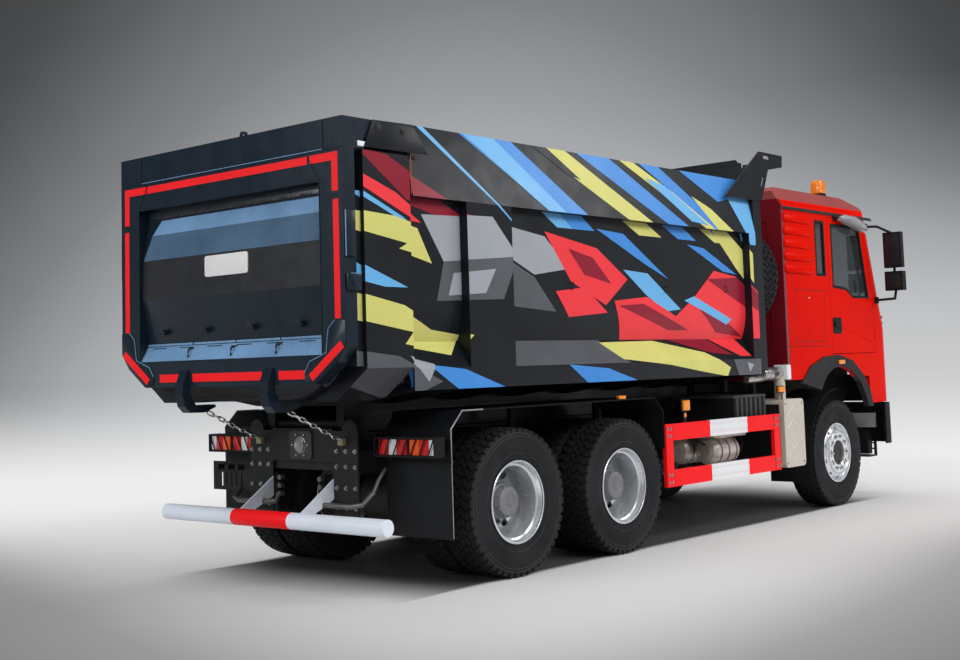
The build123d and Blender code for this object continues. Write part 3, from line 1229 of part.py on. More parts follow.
# ---------------------------------------------------------------- tailgate
with BuildPart() as tailgate_frame:
    half = [(GATE_HALF_W, GATE_BEAM_LOW_Z), (GATE_HALF_W, 1700), (1154, 1589), (947, GATE_BOTTOM_Z)]
    outline = half + [(-y, z) for y, z in reversed(half)]
    yz_plate(outline, GATE_REAR_X, GATE_FRONT_X)
    block(
        (GATE_REAR_X - 1, GATE_FRONT_X + 1),
        (-RECESS_HALF_W, RECESS_HALF_W),
        (RECESS_LOW_Z, RECESS_TOP_Z),
        mode=Mode.SUBTRACT,
    )
    block((GATE_REAR_X, -3995), (-GATE_HALF_W, GATE_HALF_W), (GATE_BEAM_LOW_Z, GATE_TOP_Z))
    for side in SIDES:
        low, high = mirrored_range(side, HINGE_PLATE_Y + HINGE_PLATE_T + MOVING_GAP, GATE_HALF_W)
        block((-4000, GATE_HINGE_X + 45), (low, high), (3060, GATE_TOP_Z))
        bore_low, bore_high = mirrored_range(side, HINGE_PLATE_Y, GATE_HALF_W + 1)
        y_rod(
            GATE_HINGE_X,
            GATE_HINGE_Z,
            GATE_PIN_R + RUNNING_GAP,
            bore_low,
            bore_high,
            mode=Mode.SUBTRACT,
        )
        low, high = mirrored_range(side, GATE_HALF_W - 1, GATE_HALF_W + LATCH_LIP)
        block(LATCH_X, (low, high), LATCH_Z)
    xz_plate(EYE_OUTLINE, *EYE_Y)
    eye_x = (EYE_OUTLINE[0][0] + EYE_OUTLINE[-1][0]) / 2
    y_rod(eye_x, EYE_HOLE_Z, EYE_HOLE_R, EYE_Y[0] - 1, EYE_Y[1] + 1, mode=Mode.SUBTRACT)
    for claw_y in CLAW_YS:
        xz_plate(CLAW_OUTLINE, claw_y - CLAW_HALF_W, claw_y + CLAW_HALF_W)
save(tailgate_frame.part, "tailgate_frame")

with BuildPart() as tailgate_panel:
    xz_plate(
        [
            (GATE_FRONT_X, RECESS_TOP_Z),
            (GATE_FRONT_X - 24, RECESS_TOP_Z),
            (GATE_FRONT_X - 24, 2700),
            (GATE_FRONT_X - 74, 2400),
            (GATE_FRONT_X - 79, 2100),
            (GATE_FRONT_X - 34, 1780),
            (GATE_FRONT_X - 34, 1750),
            (GATE_REAR_X + 4, RECESS_LOW_Z),
            (GATE_FRONT_X, RECESS_LOW_Z),
        ],
        -RECESS_HALF_W,
        RECESS_HALF_W,
    )
    for lug_y in LUG_YS:
        block(LUG_X, (lug_y - LUG_W / 2, lug_y + LUG_W / 2), LUG_Z)
save(tailgate_panel.part, "tailgate_panel")

# ---------------------------------------------------------------- hoist
with BuildPart() as hoist_cover:
    z_rod(HOIST_X, 0, HOIST_COVER_R, HOIST_COVER_LOW_Z, HOIST_COVER_TOP_Z)
    bore_r = HOIST_COVER_R - HOIST_WALL
    z_rod(HOIST_X, 0, bore_r, HOIST_COVER_LOW_Z - 1, HOIST_COVER_TOP_Z - 30, mode=Mode.SUBTRACT)
    for side in SIDES:
        low, high = mirrored_range(side, HOIST_COVER_R - 9, HOIST_COVER_R + 1)
        y_rod(
            HOIST_X,
            HOIST_TRUNNION_Z,
            HOIST_PIN_R + RUNNING_GAP,
            low,
            high,
            mode=Mode.SUBTRACT,
        )
save(hoist_cover.part, "hoist_cover")

for stage in range(1, HOIST_STAGES + 1):
    outer_r = HOIST_COVER_R - stage * (HOIST_WALL + HOIST_SLIDE_GAP)
    top_z = HOIST_COVER_TOP_Z - 30 - stage * 15
    low_z = HOIST_COVER_LOW_Z - stage * 15
    with BuildPart() as hoist_stage:
        z_rod(HOIST_X, 0, outer_r, low_z, top_z)
        if stage < HOIST_STAGES:
            z_rod(HOIST_X, 0, outer_r - HOIST_WALL, low_z - 1, top_z - 10, mode=Mode.SUBTRACT)
        else:
            z_rod(HOIST_X, 0, HOIST_EYE_HALF_W, HOIST_FOOT_Z, low_z)
            y_rod(HOIST_X, HOIST_FOOT_Z, HOIST_EYE_R, -HOIST_EYE_HALF_W, HOIST_EYE_HALF_W)
            y_rod(
                HOIST_X,
                HOIST_FOOT_Z,
                HOIST_PIN_R + RUNNING_GAP,
                -HOIST_EYE_HALF_W - 1,
                HOIST_EYE_HALF_W + 1,
                mode=Mode.SUBTRACT,
            )
    save(hoist_stage.part, f"hoist_stage_{stage}")

with BuildPart() as chains:
    for chain_y in CHAIN_YS:
        add_chain((CHAIN_END_X, chain_y, CHAIN_LOW_Z), (CHAIN_TOP_X, chain_y, CHAIN_TOP_Z), CHAIN_LINKS)
save(chains.part, "chains")


# ---------------------------------------------------------------- cab
def cab_form(inset, base_z):
    """The cab's outer form down to base_z, made smaller by inset on every face."""
    half_w = CAB_HALF_W - inset
    with BuildPart() as form:
        with BuildSketch(Plane.XZ.offset(-half_w)):
            with BuildLine():
                Polyline(*CAB_PROFILE, close=True)
            make_face()
            if inset:
                offset(amount=-inset, kind=Kind.INTERSECTION)
        extrude(amount=2 * half_w)
        front = form.edges().filter_by(lambda e: e.center().X > 3780)
        corners = front.filter_by(lambda e: abs(abs(e.center().Y) - half_w) < 1)
        corners = corners.filter_by(lambda e: abs(e.tangent_at(0.5).Z) > 0.5)
        fillet(corners, radius=CAB_CORNER_R - inset)
        run = CAB_HALF_W - ROOF_EDGE_Y
        rise = CAB_ROOF_Z - ROOF_SIDE_Z
        in_y = min(inset, ROOF_SIDE_WALL) * rise / hypot(run, rise)
        in_z = min(inset, ROOF_SIDE_WALL) * run / hypot(run, rise)
        for side in SIDES:
            yz_plate(
                [
                    (side * (CAB_HALF_W + run - in_y), ROOF_SIDE_Z - rise - in_z),
                    (side * (CAB_HALF_W + run), CAB_ROOF_Z + rise),
                    (side * (ROOF_EDGE_Y - run - in_y), CAB_ROOF_Z + rise - in_z),
                ],
                CAB_REAR_X - 1,
                CAB_FACE_X + 1,
                mode=Mode.SUBTRACT,
            )
        block((CAB_REAR_X - 1, CAB_FACE_X + 1), (-half_w - 1, half_w + 1), (900, base_z), Mode.SUBTRACT)
    return form.part


def grown_prism(outline, amount, side):
    """Door or window outline grown by amount, through one side of the cab."""
    low, high = mirrored_range(side, CAB_HALF_W - 200, CAB_HALF_W + 50)
    with BuildPart() as solid:
        with BuildSketch(Plane.XZ.offset(-high)):
            with BuildLine():
                Polyline(*outline, close=True)
            make_face()
            if amount:
                offset(amount=amount, kind=Kind.INTERSECTION)
        extrude(amount=high - low)
    return solid.part


def windscreen_prism(inset):
    """Opening of the windscreen through the sloping front."""
    with BuildPart() as solid:
        block(
            (CAB_FACE_X - 560, CAB_FACE_X + 10),
            (-SCREEN_HALF_W + inset, SCREEN_HALF_W - inset),
            (SCREEN_LOW_Z + inset, SCREEN_TOP_Z - inset),
        )
    return solid.part


outer_form = cab_form(0, CAB_LIP_Z)
inner_form = cab_form(CAB_WALL, CAB_BASE_Z)
glass_outer = cab_form(GLASS_INSET, CAB_LIP_Z)
glass_inner = cab_form(GLASS_INSET + GLASS_T, CAB_LIP_Z - 50)

with BuildPart() as cab_walls:
    add(outer_form)
    add(inner_form, mode=Mode.SUBTRACT)
    inner_y = CAB_HALF_W - CAB_WALL
    block(
        (CAB_REAR_X + CAB_WALL, CAB_FACE_X - CAB_WALL),
        (-inner_y, inner_y),
        (900, CAB_BASE_Z - CAB_FLOOR_T),
        mode=Mode.SUBTRACT,
    )
    block((CAB_REAR_X - 1, 3560), (-CAB_HALF_W - 1, CAB_HALF_W + 1), (900, CAB_FLOOR_Z), mode=Mode.SUBTRACT)
    xz_plate(ARCH_INNER, -CAB_HALF_W - 1, CAB_HALF_W + 1, mode=Mode.SUBTRACT)

for side in SIDES:
    name = SIDE_NAMES[side]
    with BuildPart() as door:
        add(cab_walls.part)
        add(grown_prism(DOOR_OUTLINE, 0, side), mode=Mode.INTERSECT)
        add(grown_prism(DOOR_WINDOW, 0, side), mode=Mode.SUBTRACT)
        for hinge_z in DOOR_HINGE_ZS:
            z_rod(DOOR_HINGE_X, side * DOOR_HINGE_Y, DOOR_HINGE_R, hinge_z, hinge_z + DOOR_HINGE_H)
    save(door.part, f"door_{name}")
    with BuildPart() as door_glass:
        add(glass_outer)
        add(glass_inner, mode=Mode.SUBTRACT)
        add(grown_prism(DOOR_WINDOW, 0, side), mode=Mode.INTERSECT)
    save(door_glass.part, f"door_glass_{name}")

with BuildPart() as cab_front:
    add(cab_walls.part)
    block(
        (CAB_FACE_X - CAB_WALL, CAB_FACE_X + 10),
        (-FRONT_PANEL_HALF_W, FRONT_PANEL_HALF_W),
        (900, FRONT_PANEL_TOP_Z),
        mode=Mode.INTERSECT,
    )
    for row in range(GRILLE_ROWS):
        row_z = GRILLE_LOW_Z + row * GRILLE_PITCH
        block(
            (CAB_FACE_X - CAB_WALL - 1, CAB_FACE_X + 1),
            (-GRILLE_HALF_W, GRILLE_HALF_W),
            (row_z, row_z + GRILLE_SLOT),
            mode=Mode.SUBTRACT,
        )
save(cab_front.part, "cab_front")

with BuildPart() as cab_whole:
    add(cab_walls.part)
    block(
        (CAB_FACE_X - CAB_WALL, CAB_FACE_X + 10),
        (-FRONT_PANEL_HALF_W, FRONT_PANEL_HALF_W),
        (900, FRONT_PANEL_TOP_Z),
        mode=Mode.SUBTRACT,
    )
    for side in SIDES:
        add(grown_prism(DOOR_OUTLINE, DOOR_GAP, side), mode=Mode.SUBTRACT)
        add(grown_prism(QUARTER_WINDOW, 0, side), mode=Mode.SUBTRACT)
        low, high = mirrored_range(side, CAB_LUG_Y - CAB_LUG_T / 2, CAB_LUG_Y + CAB_LUG_T / 2)
        xz_plate(
            [
                (CAB_PIVOT_X - 60, CAB_BASE_Z - CAB_FLOOR_T + 5),
                (CAB_PIVOT_X - 35, CAB_PIVOT_Z - 35),
                (CAB_PIVOT_X + 35, CAB_PIVOT_Z - 35),
                (CAB_PIVOT_X + 60, CAB_BASE_Z - CAB_FLOOR_T + 5),
            ],
            low,
            high,
        )
        y_rod(CAB_PIVOT_X, CAB_PIVOT_Z, CAB_PIN_R + RUNNING_GAP, low - 1, high + 1, mode=Mode.SUBTRACT)
        for hinge_z in DOOR_HINGE_ZS:
            z_rod(
                DOOR_HINGE_X,
                side * DOOR_HINGE_Y,
                DOOR_HINGE_R + RUNNING_GAP,
                hinge_z - 1,
                hinge_z + DOOR_HINGE_H + 1,
                mode=Mode.SUBTRACT,
            )
    add(windscreen_prism(0), mode=Mode.SUBTRACT)

floor_box = (
    (CAB_REAR_X + CAB_WALL, CAB_FACE_X - CAB_WALL),
    (CAB_WALL - CAB_HALF_W, CAB_HALF_W - CAB_WALL),
    (CAB_LIP_Z, CAB_BASE_Z),
)
roof_box = (
    (CAB_REAR_X - 1, CAB_FACE_X),
    (-CAB_HALF_W - 1, CAB_HALF_W + 1),
    (ROOF_JOINT_Z, CAB_ROOF_Z + 1),
)
rear_box = (
    (CAB_REAR_X - 1, CAB_REAR_X + CAB_WALL),
    (-CAB_HALF_W - 1, CAB_HALF_W + 1),
    (CAB_LIP_Z, ROOF_JOINT_Z),
)
with BuildPart() as cab_floor:
    add(cab_whole.part)
    block(*floor_box, mode=Mode.INTERSECT)
save(cab_floor.part, "cab_floor")

with BuildPart() as cab_roof:
    add(cab_whole.part)
    block(*roof_box, mode=Mode.INTERSECT)
save(cab_roof.part, "cab_roof")

with BuildPart() as cab_rear:
    add(cab_whole.part)
    block(*rear_box, mode=Mode.INTERSECT)
    for pressing_y in REAR_PRESSING_YS:
        block(
            (CAB_REAR_X - 1, CAB_REAR_X + REAR_PRESSING_DEPTH),
            (pressing_y - REAR_PRESSING_W / 2, pressing_y + REAR_PRESSING_W / 2),
            REAR_PRESSING_Z,
            mode=Mode.SUBTRACT,
        )
save(cab_rear.part, "cab_rear")

with BuildPart() as cab_shell:
    add(cab_whole.part)
    for panel_box in (floor_box, roof_box, rear_box):
        block(*panel_box, mode=Mode.SUBTRACT)
save(cab_shell.part, "cab_shell")

with BuildPart() as cab_trim:
    for side in SIDES:
        low, high = mirrored_range(side, CAB_HALF_W, CAB_HALF_W + GUTTER_OUT)
        block(GUTTER_X, (low, high), GUTTER_Z)
        rib_x = (CAB_RIB_X[0] + CAB_RIB_X[1]) / 2
        for row in range(CAB_RIBS):
            rib_z = CAB_RIB_LOW_Z + row * CAB_RIB_PITCH + CAB_RIB_H / 2
            face = Plane(origin=(rib_x, side * CAB_HALF_W, rib_z), x_dir=(1, 0, 0), z_dir=(0, side, 0))
            with BuildSketch(face) as sketch:
                SlotOverall(CAB_RIB_X[1] - CAB_RIB_X[0], CAB_RIB_H)
            extrude(sketch.sketch, amount=CAB_RIB_OUT, taper=CAB_RIB_TAPER)
save(cab_trim.part, "cab_trim")

with BuildPart() as cab_glass:
    with BuildPart(mode=Mode.PRIVATE) as skin:
        add(glass_outer)
        add(glass_inner, mode=Mode.SUBTRACT)
    with BuildPart(mode=Mode.PRIVATE) as openings:
        add(windscreen_prism(0))
        for side in SIDES:
            add(grown_prism(QUARTER_WINDOW, 0, side))
    add(skin.part)
    add(openings.part, mode=Mode.INTERSECT)
save(cab_glass.part, "cab_glass")

with BuildPart() as wheel_arches:
    for side in SIDES:
        low, high = mirrored_range(side, CAB_HALF_W - CAB_WALL, CAB_HALF_W + 16)
        xz_plate(ARCH_OUTER, low, high)
        xz_plate(ARCH_INNER, low - 1, high + 1, mode=Mode.SUBTRACT)
    add(cab_walls.part, mode=Mode.SUBTRACT)
save(wheel_arches.part, "wheel_arches")

with BuildPart() as mirrors:
    for side in SIDES:
        for low_z, high_z, depth in MIRROR_HEADS:
            low, high = mirrored_range(side, MIRROR_IN_Y, MIRROR_OUT_Y)
            with BuildPart(mode=Mode.PRIVATE) as head:
                block((MIRROR_FACE_X, MIRROR_FACE_X + depth), (low, high), (low_z, high_z))
                front = head.faces().sort_by(Axis.X)[-1]
                fillet(front.edges(), radius=MIRROR_EDGE_R)
            add(head.part)
        for start, bend, end in MIRROR_ARMS:
            points = [(x, side * y, z) for x, y, z in (start, bend, end)]
            rod_between(points[0], points[1], MIRROR_ARM_R)
            rod_between(points[1], points[2], MIRROR_ARM_R)
            with BuildPart(mode=Mode.PRIVATE) as elbow:
                with Locations(points[1]):
                    Sphere(MIRROR_ARM_R)
            add(elbow.part)
        low, high = mirrored_range(side, CAB_HALF_W, CAB_HALF_W + 30)
        for x, z in MIRROR_FEET:
            block((x - 25, x + 25), (low, high), (z - 35, z + 35))
save(mirrors.part, "mirrors")

with BuildPart() as cab_interior:
    floor_z = CAB_BASE_Z + SEAT_GAP
    for seat_y in (-SEAT_Y, SEAT_Y):
        for x_range, half_w, low, high in SEAT_PARTS:
            block(x_range, (seat_y - half_w, seat_y + half_w), (floor_z + low, floor_z + high))
    for x_range, half_w, low, high in DASHBOARD_PARTS:
        block(x_range, (-half_w, half_w), (floor_z + low, floor_z + high))
    column_x, column_z = STEERING_COLUMN_FOOT
    wheel_x, wheel_z = STEERING_WHEEL_CENTRE
    rod_between((column_x, SEAT_Y, floor_z + column_z), (wheel_x, SEAT_Y, floor_z + wheel_z), 25)
    tilt = (wheel_x - column_x, 0, wheel_z - column_z)
    wheel_plane = Plane(origin=(wheel_x, SEAT_Y, floor_z + wheel_z), z_dir=tilt)
    with BuildSketch(wheel_plane) as sketch:
        RegularPolygon(STEERING_WHEEL_R, 16)
        RegularPolygon(STEERING_WHEEL_R - 27, 16, mode=Mode.SUBTRACT)
        Rectangle(2 * STEERING_WHEEL_R - 40, 30)
    extrude(sketch.sketch, amount=24)
save(cab_interior.part, "cab_interior")

with BuildPart() as beacon:
    base_z = CAB_ROOF_Z + SEAT_GAP
    z_rod(BEACON_X, BEACON_Y, BEACON_BASE_R, base_z, base_z + BEACON_BASE_H)
    with BuildSketch(Plane.XY.offset(base_z + BEACON_BASE_H)) as sketch:
        with Locations((BEACON_X, BEACON_Y)):
            RectangleRounded(BEACON_LENS_W, BEACON_LENS_W, BEACON_LENS_W / 4)
    extrude(sketch.sketch, amount=BEACON_TOP_H - BEACON_BASE_H, taper=BEACON_TAPER)
save(beacon.part, "beacon")
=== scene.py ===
"""Looks of the three-axle dump truck: paint, treads, rims, livery, lamps, trim, light and camera.

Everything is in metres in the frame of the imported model: X forward, Y left, Z up, ground at 0.
"""

from math import cos, pi, radians, sin

import bmesh
import bpy
from mathutils import Matrix, Vector
from mathutils.geometry import tessellate_polygon


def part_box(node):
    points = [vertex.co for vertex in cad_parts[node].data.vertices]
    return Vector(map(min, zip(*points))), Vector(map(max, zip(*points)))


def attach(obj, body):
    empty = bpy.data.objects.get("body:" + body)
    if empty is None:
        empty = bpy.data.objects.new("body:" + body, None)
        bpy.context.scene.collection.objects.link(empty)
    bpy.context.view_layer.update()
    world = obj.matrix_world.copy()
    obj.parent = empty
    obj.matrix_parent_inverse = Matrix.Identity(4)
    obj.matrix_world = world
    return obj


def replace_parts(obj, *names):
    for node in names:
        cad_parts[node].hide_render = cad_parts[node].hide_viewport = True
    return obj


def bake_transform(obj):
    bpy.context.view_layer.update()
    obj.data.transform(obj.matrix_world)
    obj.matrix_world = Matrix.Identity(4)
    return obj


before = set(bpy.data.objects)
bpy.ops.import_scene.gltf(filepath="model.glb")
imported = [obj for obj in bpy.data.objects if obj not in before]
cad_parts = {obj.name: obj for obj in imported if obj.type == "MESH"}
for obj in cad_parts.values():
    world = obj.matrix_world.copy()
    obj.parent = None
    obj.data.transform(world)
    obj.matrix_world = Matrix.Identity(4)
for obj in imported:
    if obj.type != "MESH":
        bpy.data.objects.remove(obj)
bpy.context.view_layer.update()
SIDES = {"left": 1, "right": -1}

# ---------------------------------------------------------------- driving sizes
AXLE_Z = 0.5425
TYRE_R = 0.5425
# each tyre of a side: its axle, which of the twins, x, distance from the middle
TYRES = (
    ("front", "", 2.75, 1.04), ("middle", "outer", -1.15, 1.09), ("middle", "inner", -1.15, 0.75),
    ("rear", "outer", -2.5, 1.09), ("rear", "inner", -2.5, 0.75),
)


def wheels():
    """Each tyre's axle and twin, label, end of its CAD node's name, body, place and whether its rim is mirrored."""
    for name, side in SIDES.items():
        for row, twin, x, y in TYRES:
            label = f"{row}_{twin}_{name}" if twin else f"{row}_{name}"
            node = f"s_{row}_{name}" if twin else f"_{row}_{name}"
            yield row, twin, label, node, f"wheel_{row}_{name}", (x, side * y, AXLE_Z), (side < 0) == (twin != "inner")


# ---------------------------------------------------------------- shader tools
def fill(tree, node, inputs):
    """Set or link a node's inputs, each given as a plain value or a socket."""
    for key, value in inputs.items():
        if isinstance(value, bpy.types.NodeSocket):
            tree.links.new(value, node.inputs[key])
        else:
            node.inputs[key].default_value = value
    return node


def add_node(tree, kind, inputs=None, **settings):
    """A shader node with its settings and inputs."""
    node = tree.nodes.new("ShaderNode" + kind)
    for key, value in settings.items():
        setattr(node, key, value)
    return fill(tree, node, inputs or {})


def mapped(tree, value, low=0.0, high=1.0, to_low=0.0, to_high=1.0, kind="LINEAR"):
    """A number stretched from one range to another, and held inside it."""
    inputs = {"Value": value, "From Min": low, "From Max": high, "To Min": to_low, "To Max": to_high}
    return add_node(tree, "MapRange", inputs, interpolation_type=kind).outputs["Result"]


def mixed(tree, factor, first, second, blend="MIX"):
    """A colour between two others."""
    inputs = {"A": first, "B": second, "Factor": factor}
    return add_node(tree, "Mix", inputs, data_type="RGBA", blend_type=blend).outputs["Result"]


def noise_factor(tree, scale, detail=4.0):
    """Soft noise between 0 and 1 in the object's own coordinates."""
    place = add_node(tree, "TexCoord").outputs["Object"]
    noise = add_node(tree, "TexNoise", {"Scale": scale, "Detail": detail, "Roughness": 0.55, "Vector": place})
    return mapped(tree, noise.outputs["Fac"], 0.35, 0.65)


# ---------------------------------------------------------------- finishes
def finish(name, color, shade, rough=(0.3, 0.4), metallic=0.0, coat=0.0, cloud_scale=2.5, grain_scale=260.0,
           grain=0.03, grain_depth=0.0006, transmission=0.0, specular=0.3):
    """One surface finish: colour clouds, roughness clouds and a fine grain."""
    material = bpy.data.materials.new(name)
    material.use_nodes = True
    tree = material.node_tree
    smears = noise_factor(tree, cloud_scale * 3.7, detail=6.0)
    fine = noise_factor(tree, grain_scale, detail=2.0)
    bump = add_node(tree, "Bump", {"Strength": grain, "Distance": grain_depth, "Height": fine})
    fill(tree, tree.nodes["Principled BSDF"], {
        "Metallic": metallic, "Coat Weight": coat, "Coat Roughness": 0.06, "Specular IOR Level": specular,
        "Transmission Weight": transmission, "Normal": bump.outputs["Normal"],
        "Base Color": mixed(tree, noise_factor(tree, cloud_scale), (*color, 1), (*shade, 1)),
        "Roughness": mapped(tree, smears, to_low=rough[0], to_high=rough[1]),
    })
    return material


# each finish: colour, its shade, roughness from and to, and what differs from the plain finish
LIVERY = {"coat": 0.04, "specular": 0.2}
LOOKS = {
    "body_black": ((0.009, 0.011, 0.014), (0.012, 0.014, 0.018), (0.28, 0.38), {"coat": 0.04, "specular": 0.18,
        "cloud_scale": 1.2, "grain": 0.015}),
    "gate_blue": ((0.007, 0.015, 0.026), (0.009, 0.018, 0.03), (0.24, 0.34), {"coat": 0.1, "specular": 0.22,
        "cloud_scale": 1.2, "grain": 0.015}),
    "chassis_black": ((0.008, 0.009, 0.009), (0.014, 0.014, 0.013), (0.42, 0.62)),
    "cab_red": ((0.74, 0.007, 0.001), (0.66, 0.005, 0.001), (0.2, 0.26), {"cloud_scale": 0.9, "grain": 0.008,
        "specular": 0.02}),
    # the roof's red paled towards pink: painted sheen from the light above
    "roof_red_painted_sheen": ((0.36, 0.08, 0.076), (0.32, 0.068, 0.064), (0.22, 0.28), {"coat": 0.15, "cloud_scale": 0.9,
        "grain": 0.004}),
    "trim_grey": ((0.017, 0.017, 0.02), (0.023, 0.022, 0.024), (0.55, 0.7), {"grain": 0.35}),
    "dark_plastic": ((0.006, 0.007, 0.008), (0.009, 0.01, 0.011), (0.5, 0.65), {"grain": 0.3, "specular": 0.22}),
    "rubber": ((0.01, 0.011, 0.012), (0.019, 0.02, 0.022), (0.62, 0.8), {"grain": 0.3, "specular": 0.2}),
    "rim_silver": ((0.82, 0.84, 0.88), (0.76, 0.78, 0.82), (0.22, 0.28), {"metallic": 0.7, "coat": 0.2,
        "grain": 0.01, "grain_depth": 0.0002}),
    "ring_grey": ((0.035, 0.038, 0.043), (0.045, 0.048, 0.053), (0.5, 0.65), {"grain": 0.12, "specular": 0.4}),
    "disc_grey": ((0.36, 0.38, 0.4), (0.28, 0.3, 0.32), (0.3, 0.42), {"metallic": 0.4}),
    "hub_grey": ((0.27, 0.28, 0.29), (0.2, 0.2, 0.21), (0.4, 0.55), {"metallic": 0.3}),
    "bare_steel": ((0.55, 0.55, 0.56), (0.42, 0.42, 0.43), (0.22, 0.4), {"metallic": 1.0}),
    "chrome": ((0.85, 0.85, 0.86), (0.8, 0.8, 0.81), (0.06, 0.14), {"metallic": 1.0}),
    "dull_steel": ((0.26, 0.25, 0.24), (0.16, 0.15, 0.14), (0.4, 0.6), {"metallic": 0.9}),
    "cast_dark": ((0.03, 0.029, 0.028), (0.05, 0.045, 0.04), (0.5, 0.7), {"grain": 0.5, "grain_scale": 120.0}),
    "beige": ((0.6, 0.555, 0.485), (0.56, 0.515, 0.45), (0.38, 0.48), {"metallic": 0.05}),
    "tank_alloy": ((0.66, 0.6, 0.54), (0.52, 0.47, 0.42), (0.28, 0.4), {"metallic": 0.4}),
    "guard_red": ((0.98, 0.01, 0.014), (0.94, 0.008, 0.012), (0.3, 0.38), {"specular": 0.12}),
    "guard_white": ((0.8, 0.82, 0.85), (0.76, 0.78, 0.81), (0.3, 0.4), {"coat": 0.1}),
    "bar_grey": ((0.82, 0.87, 0.96), (0.76, 0.81, 0.9), (0.3, 0.4), {"metallic": 0.1}),
    "tape_red": ((1.0, 0.012, 0.016), (0.96, 0.01, 0.014), (0.35, 0.42), {"specular": 0.15}),
    "plate_white": ((0.78, 0.77, 0.76), (0.72, 0.71, 0.7), (0.3, 0.38)),
    "label_yellow": ((0.8, 0.55, 0.03), (0.74, 0.5, 0.03), (0.4, 0.5)),
    "amber": ((0.9, 0.28, 0.01), (0.82, 0.24, 0.01), (0.12, 0.2), {"coat": 0.5}),
    "lens_red": ((0.62, 0.012, 0.012), (0.52, 0.01, 0.01), (0.1, 0.18), {"coat": 0.6}),
    "lens_clear": ((0.8, 0.8, 0.8), (0.7, 0.7, 0.7), (0.08, 0.14), {"coat": 0.6}),
    "fabric": ((0.05, 0.05, 0.055), (0.035, 0.035, 0.04), (0.85, 0.95), {"grain": 0.6, "grain_scale": 420.0}),
    "glass": ((0.27, 0.3, 0.31), (0.25, 0.28, 0.29), (0.02, 0.04), {"transmission": 0.92, "grain": 0.0}),
    "mirror_face": ((0.03, 0.033, 0.036), (0.022, 0.024, 0.026), (0.12, 0.2), {"metallic": 0.3}),
    "livery_sky": ((0.155, 0.46, 0.82), (0.14, 0.43, 0.78), (0.28, 0.36), LIVERY),
    "livery_blue": ((0.06, 0.27, 0.72), (0.052, 0.25, 0.67), (0.28, 0.36), LIVERY),
    "livery_yellow": ((0.68, 0.66, 0.2), (0.63, 0.61, 0.18), (0.28, 0.36), {"specular": 0.12}),
    "livery_crimson": ((0.28, 0.01, 0.03), (0.25, 0.009, 0.026), (0.28, 0.36), LIVERY),
    "livery_red": ((0.9, 0.045, 0.058), (0.85, 0.04, 0.052), (0.28, 0.36), LIVERY),
    "livery_grey": ((0.105, 0.11, 0.125), (0.09, 0.095, 0.11), (0.28, 0.36), LIVERY),
    "livery_silver": ((0.36, 0.38, 0.42), (0.33, 0.35, 0.39), (0.28, 0.36), LIVERY),
    # painted light on the tailgate: bands of highlight, sheen, reflection and shade over its one dark paint, and
    # highlight lines along its edges
    "panel_light": ((0.185, 0.35, 0.58), (0.145, 0.275, 0.46), (0.22, 0.34), {"coat": 0.2}),
    "panel_mid": ((0.078, 0.15, 0.245), (0.056, 0.11, 0.18), (0.24, 0.36), {"coat": 0.2}),
    "panel_brown": ((0.018, 0.02, 0.024), (0.024, 0.024, 0.027), (0.28, 0.4), {"coat": 0.1}),
    "panel_dark": ((0.005, 0.012, 0.021), (0.008, 0.016, 0.027), (0.24, 0.34), {"coat": 0.1}),
    "guard_shadow": ((0.2, 0.01, 0.01), (0.15, 0.008, 0.008), (0.4, 0.5)),
    "pipe_silver": ((0.62, 0.61, 0.6), (0.5, 0.49, 0.48), (0.2, 0.32), {"metallic": 0.85}),
    "beige_light": ((0.92, 0.9, 0.84), (0.86, 0.84, 0.78), (0.34, 0.44)),
    "grey_plastic": ((0.06, 0.064, 0.07), (0.045, 0.048, 0.053), (0.45, 0.6), {"grain": 0.25}),
    "label_brass": ((0.34, 0.29, 0.16), (0.27, 0.23, 0.13), (0.35, 0.5), {"metallic": 0.3}),
    "lens_orange": ((0.86, 0.11, 0.008), (0.78, 0.09, 0.007), (0.1, 0.18), {"coat": 0.6}),
    "gutter_black": ((0.02, 0.014, 0.01), (0.032, 0.024, 0.018), (0.3, 0.45)),
    "seam_dark": ((0.1, 0.004, 0.003), (0.07, 0.003, 0.002), (0.4, 0.5)),
    # the cab's red darkened for its rear wall: painted shade
    "cab_red_painted_shade": ((0.2, 0.008, 0.016), (0.16, 0.006, 0.012), (0.26, 0.34), {"coat": 0.6}),
    # dark red of the corner louvres: painted shade of the grooves between them
    "louvre_red": ((0.16, 0.006, 0.004), (0.12, 0.005, 0.003), (0.3, 0.4), {"coat": 0.4}),
    "mirror_grey": ((0.34, 0.35, 0.37), (0.26, 0.27, 0.29), (0.16, 0.26), {"coat": 0.5}),
    "marker_orange": ((0.42, 0.1, 0.03), (0.34, 0.08, 0.03), (0.4, 0.5)),
}
M = {name: finish(name, *row[:3], **dict(*row[3:])) for name, row in LOOKS.items()}


# ---------------------------------------------------------------- mesh tools
def around(count, radius, offset=0.0, lead=0.0):
    """Points spaced evenly round a circle."""
    angles = (2 * pi * (step + offset) / count + lead for step in range(count))
    return [(radius * cos(angle), radius * sin(angle)) for angle in angles]


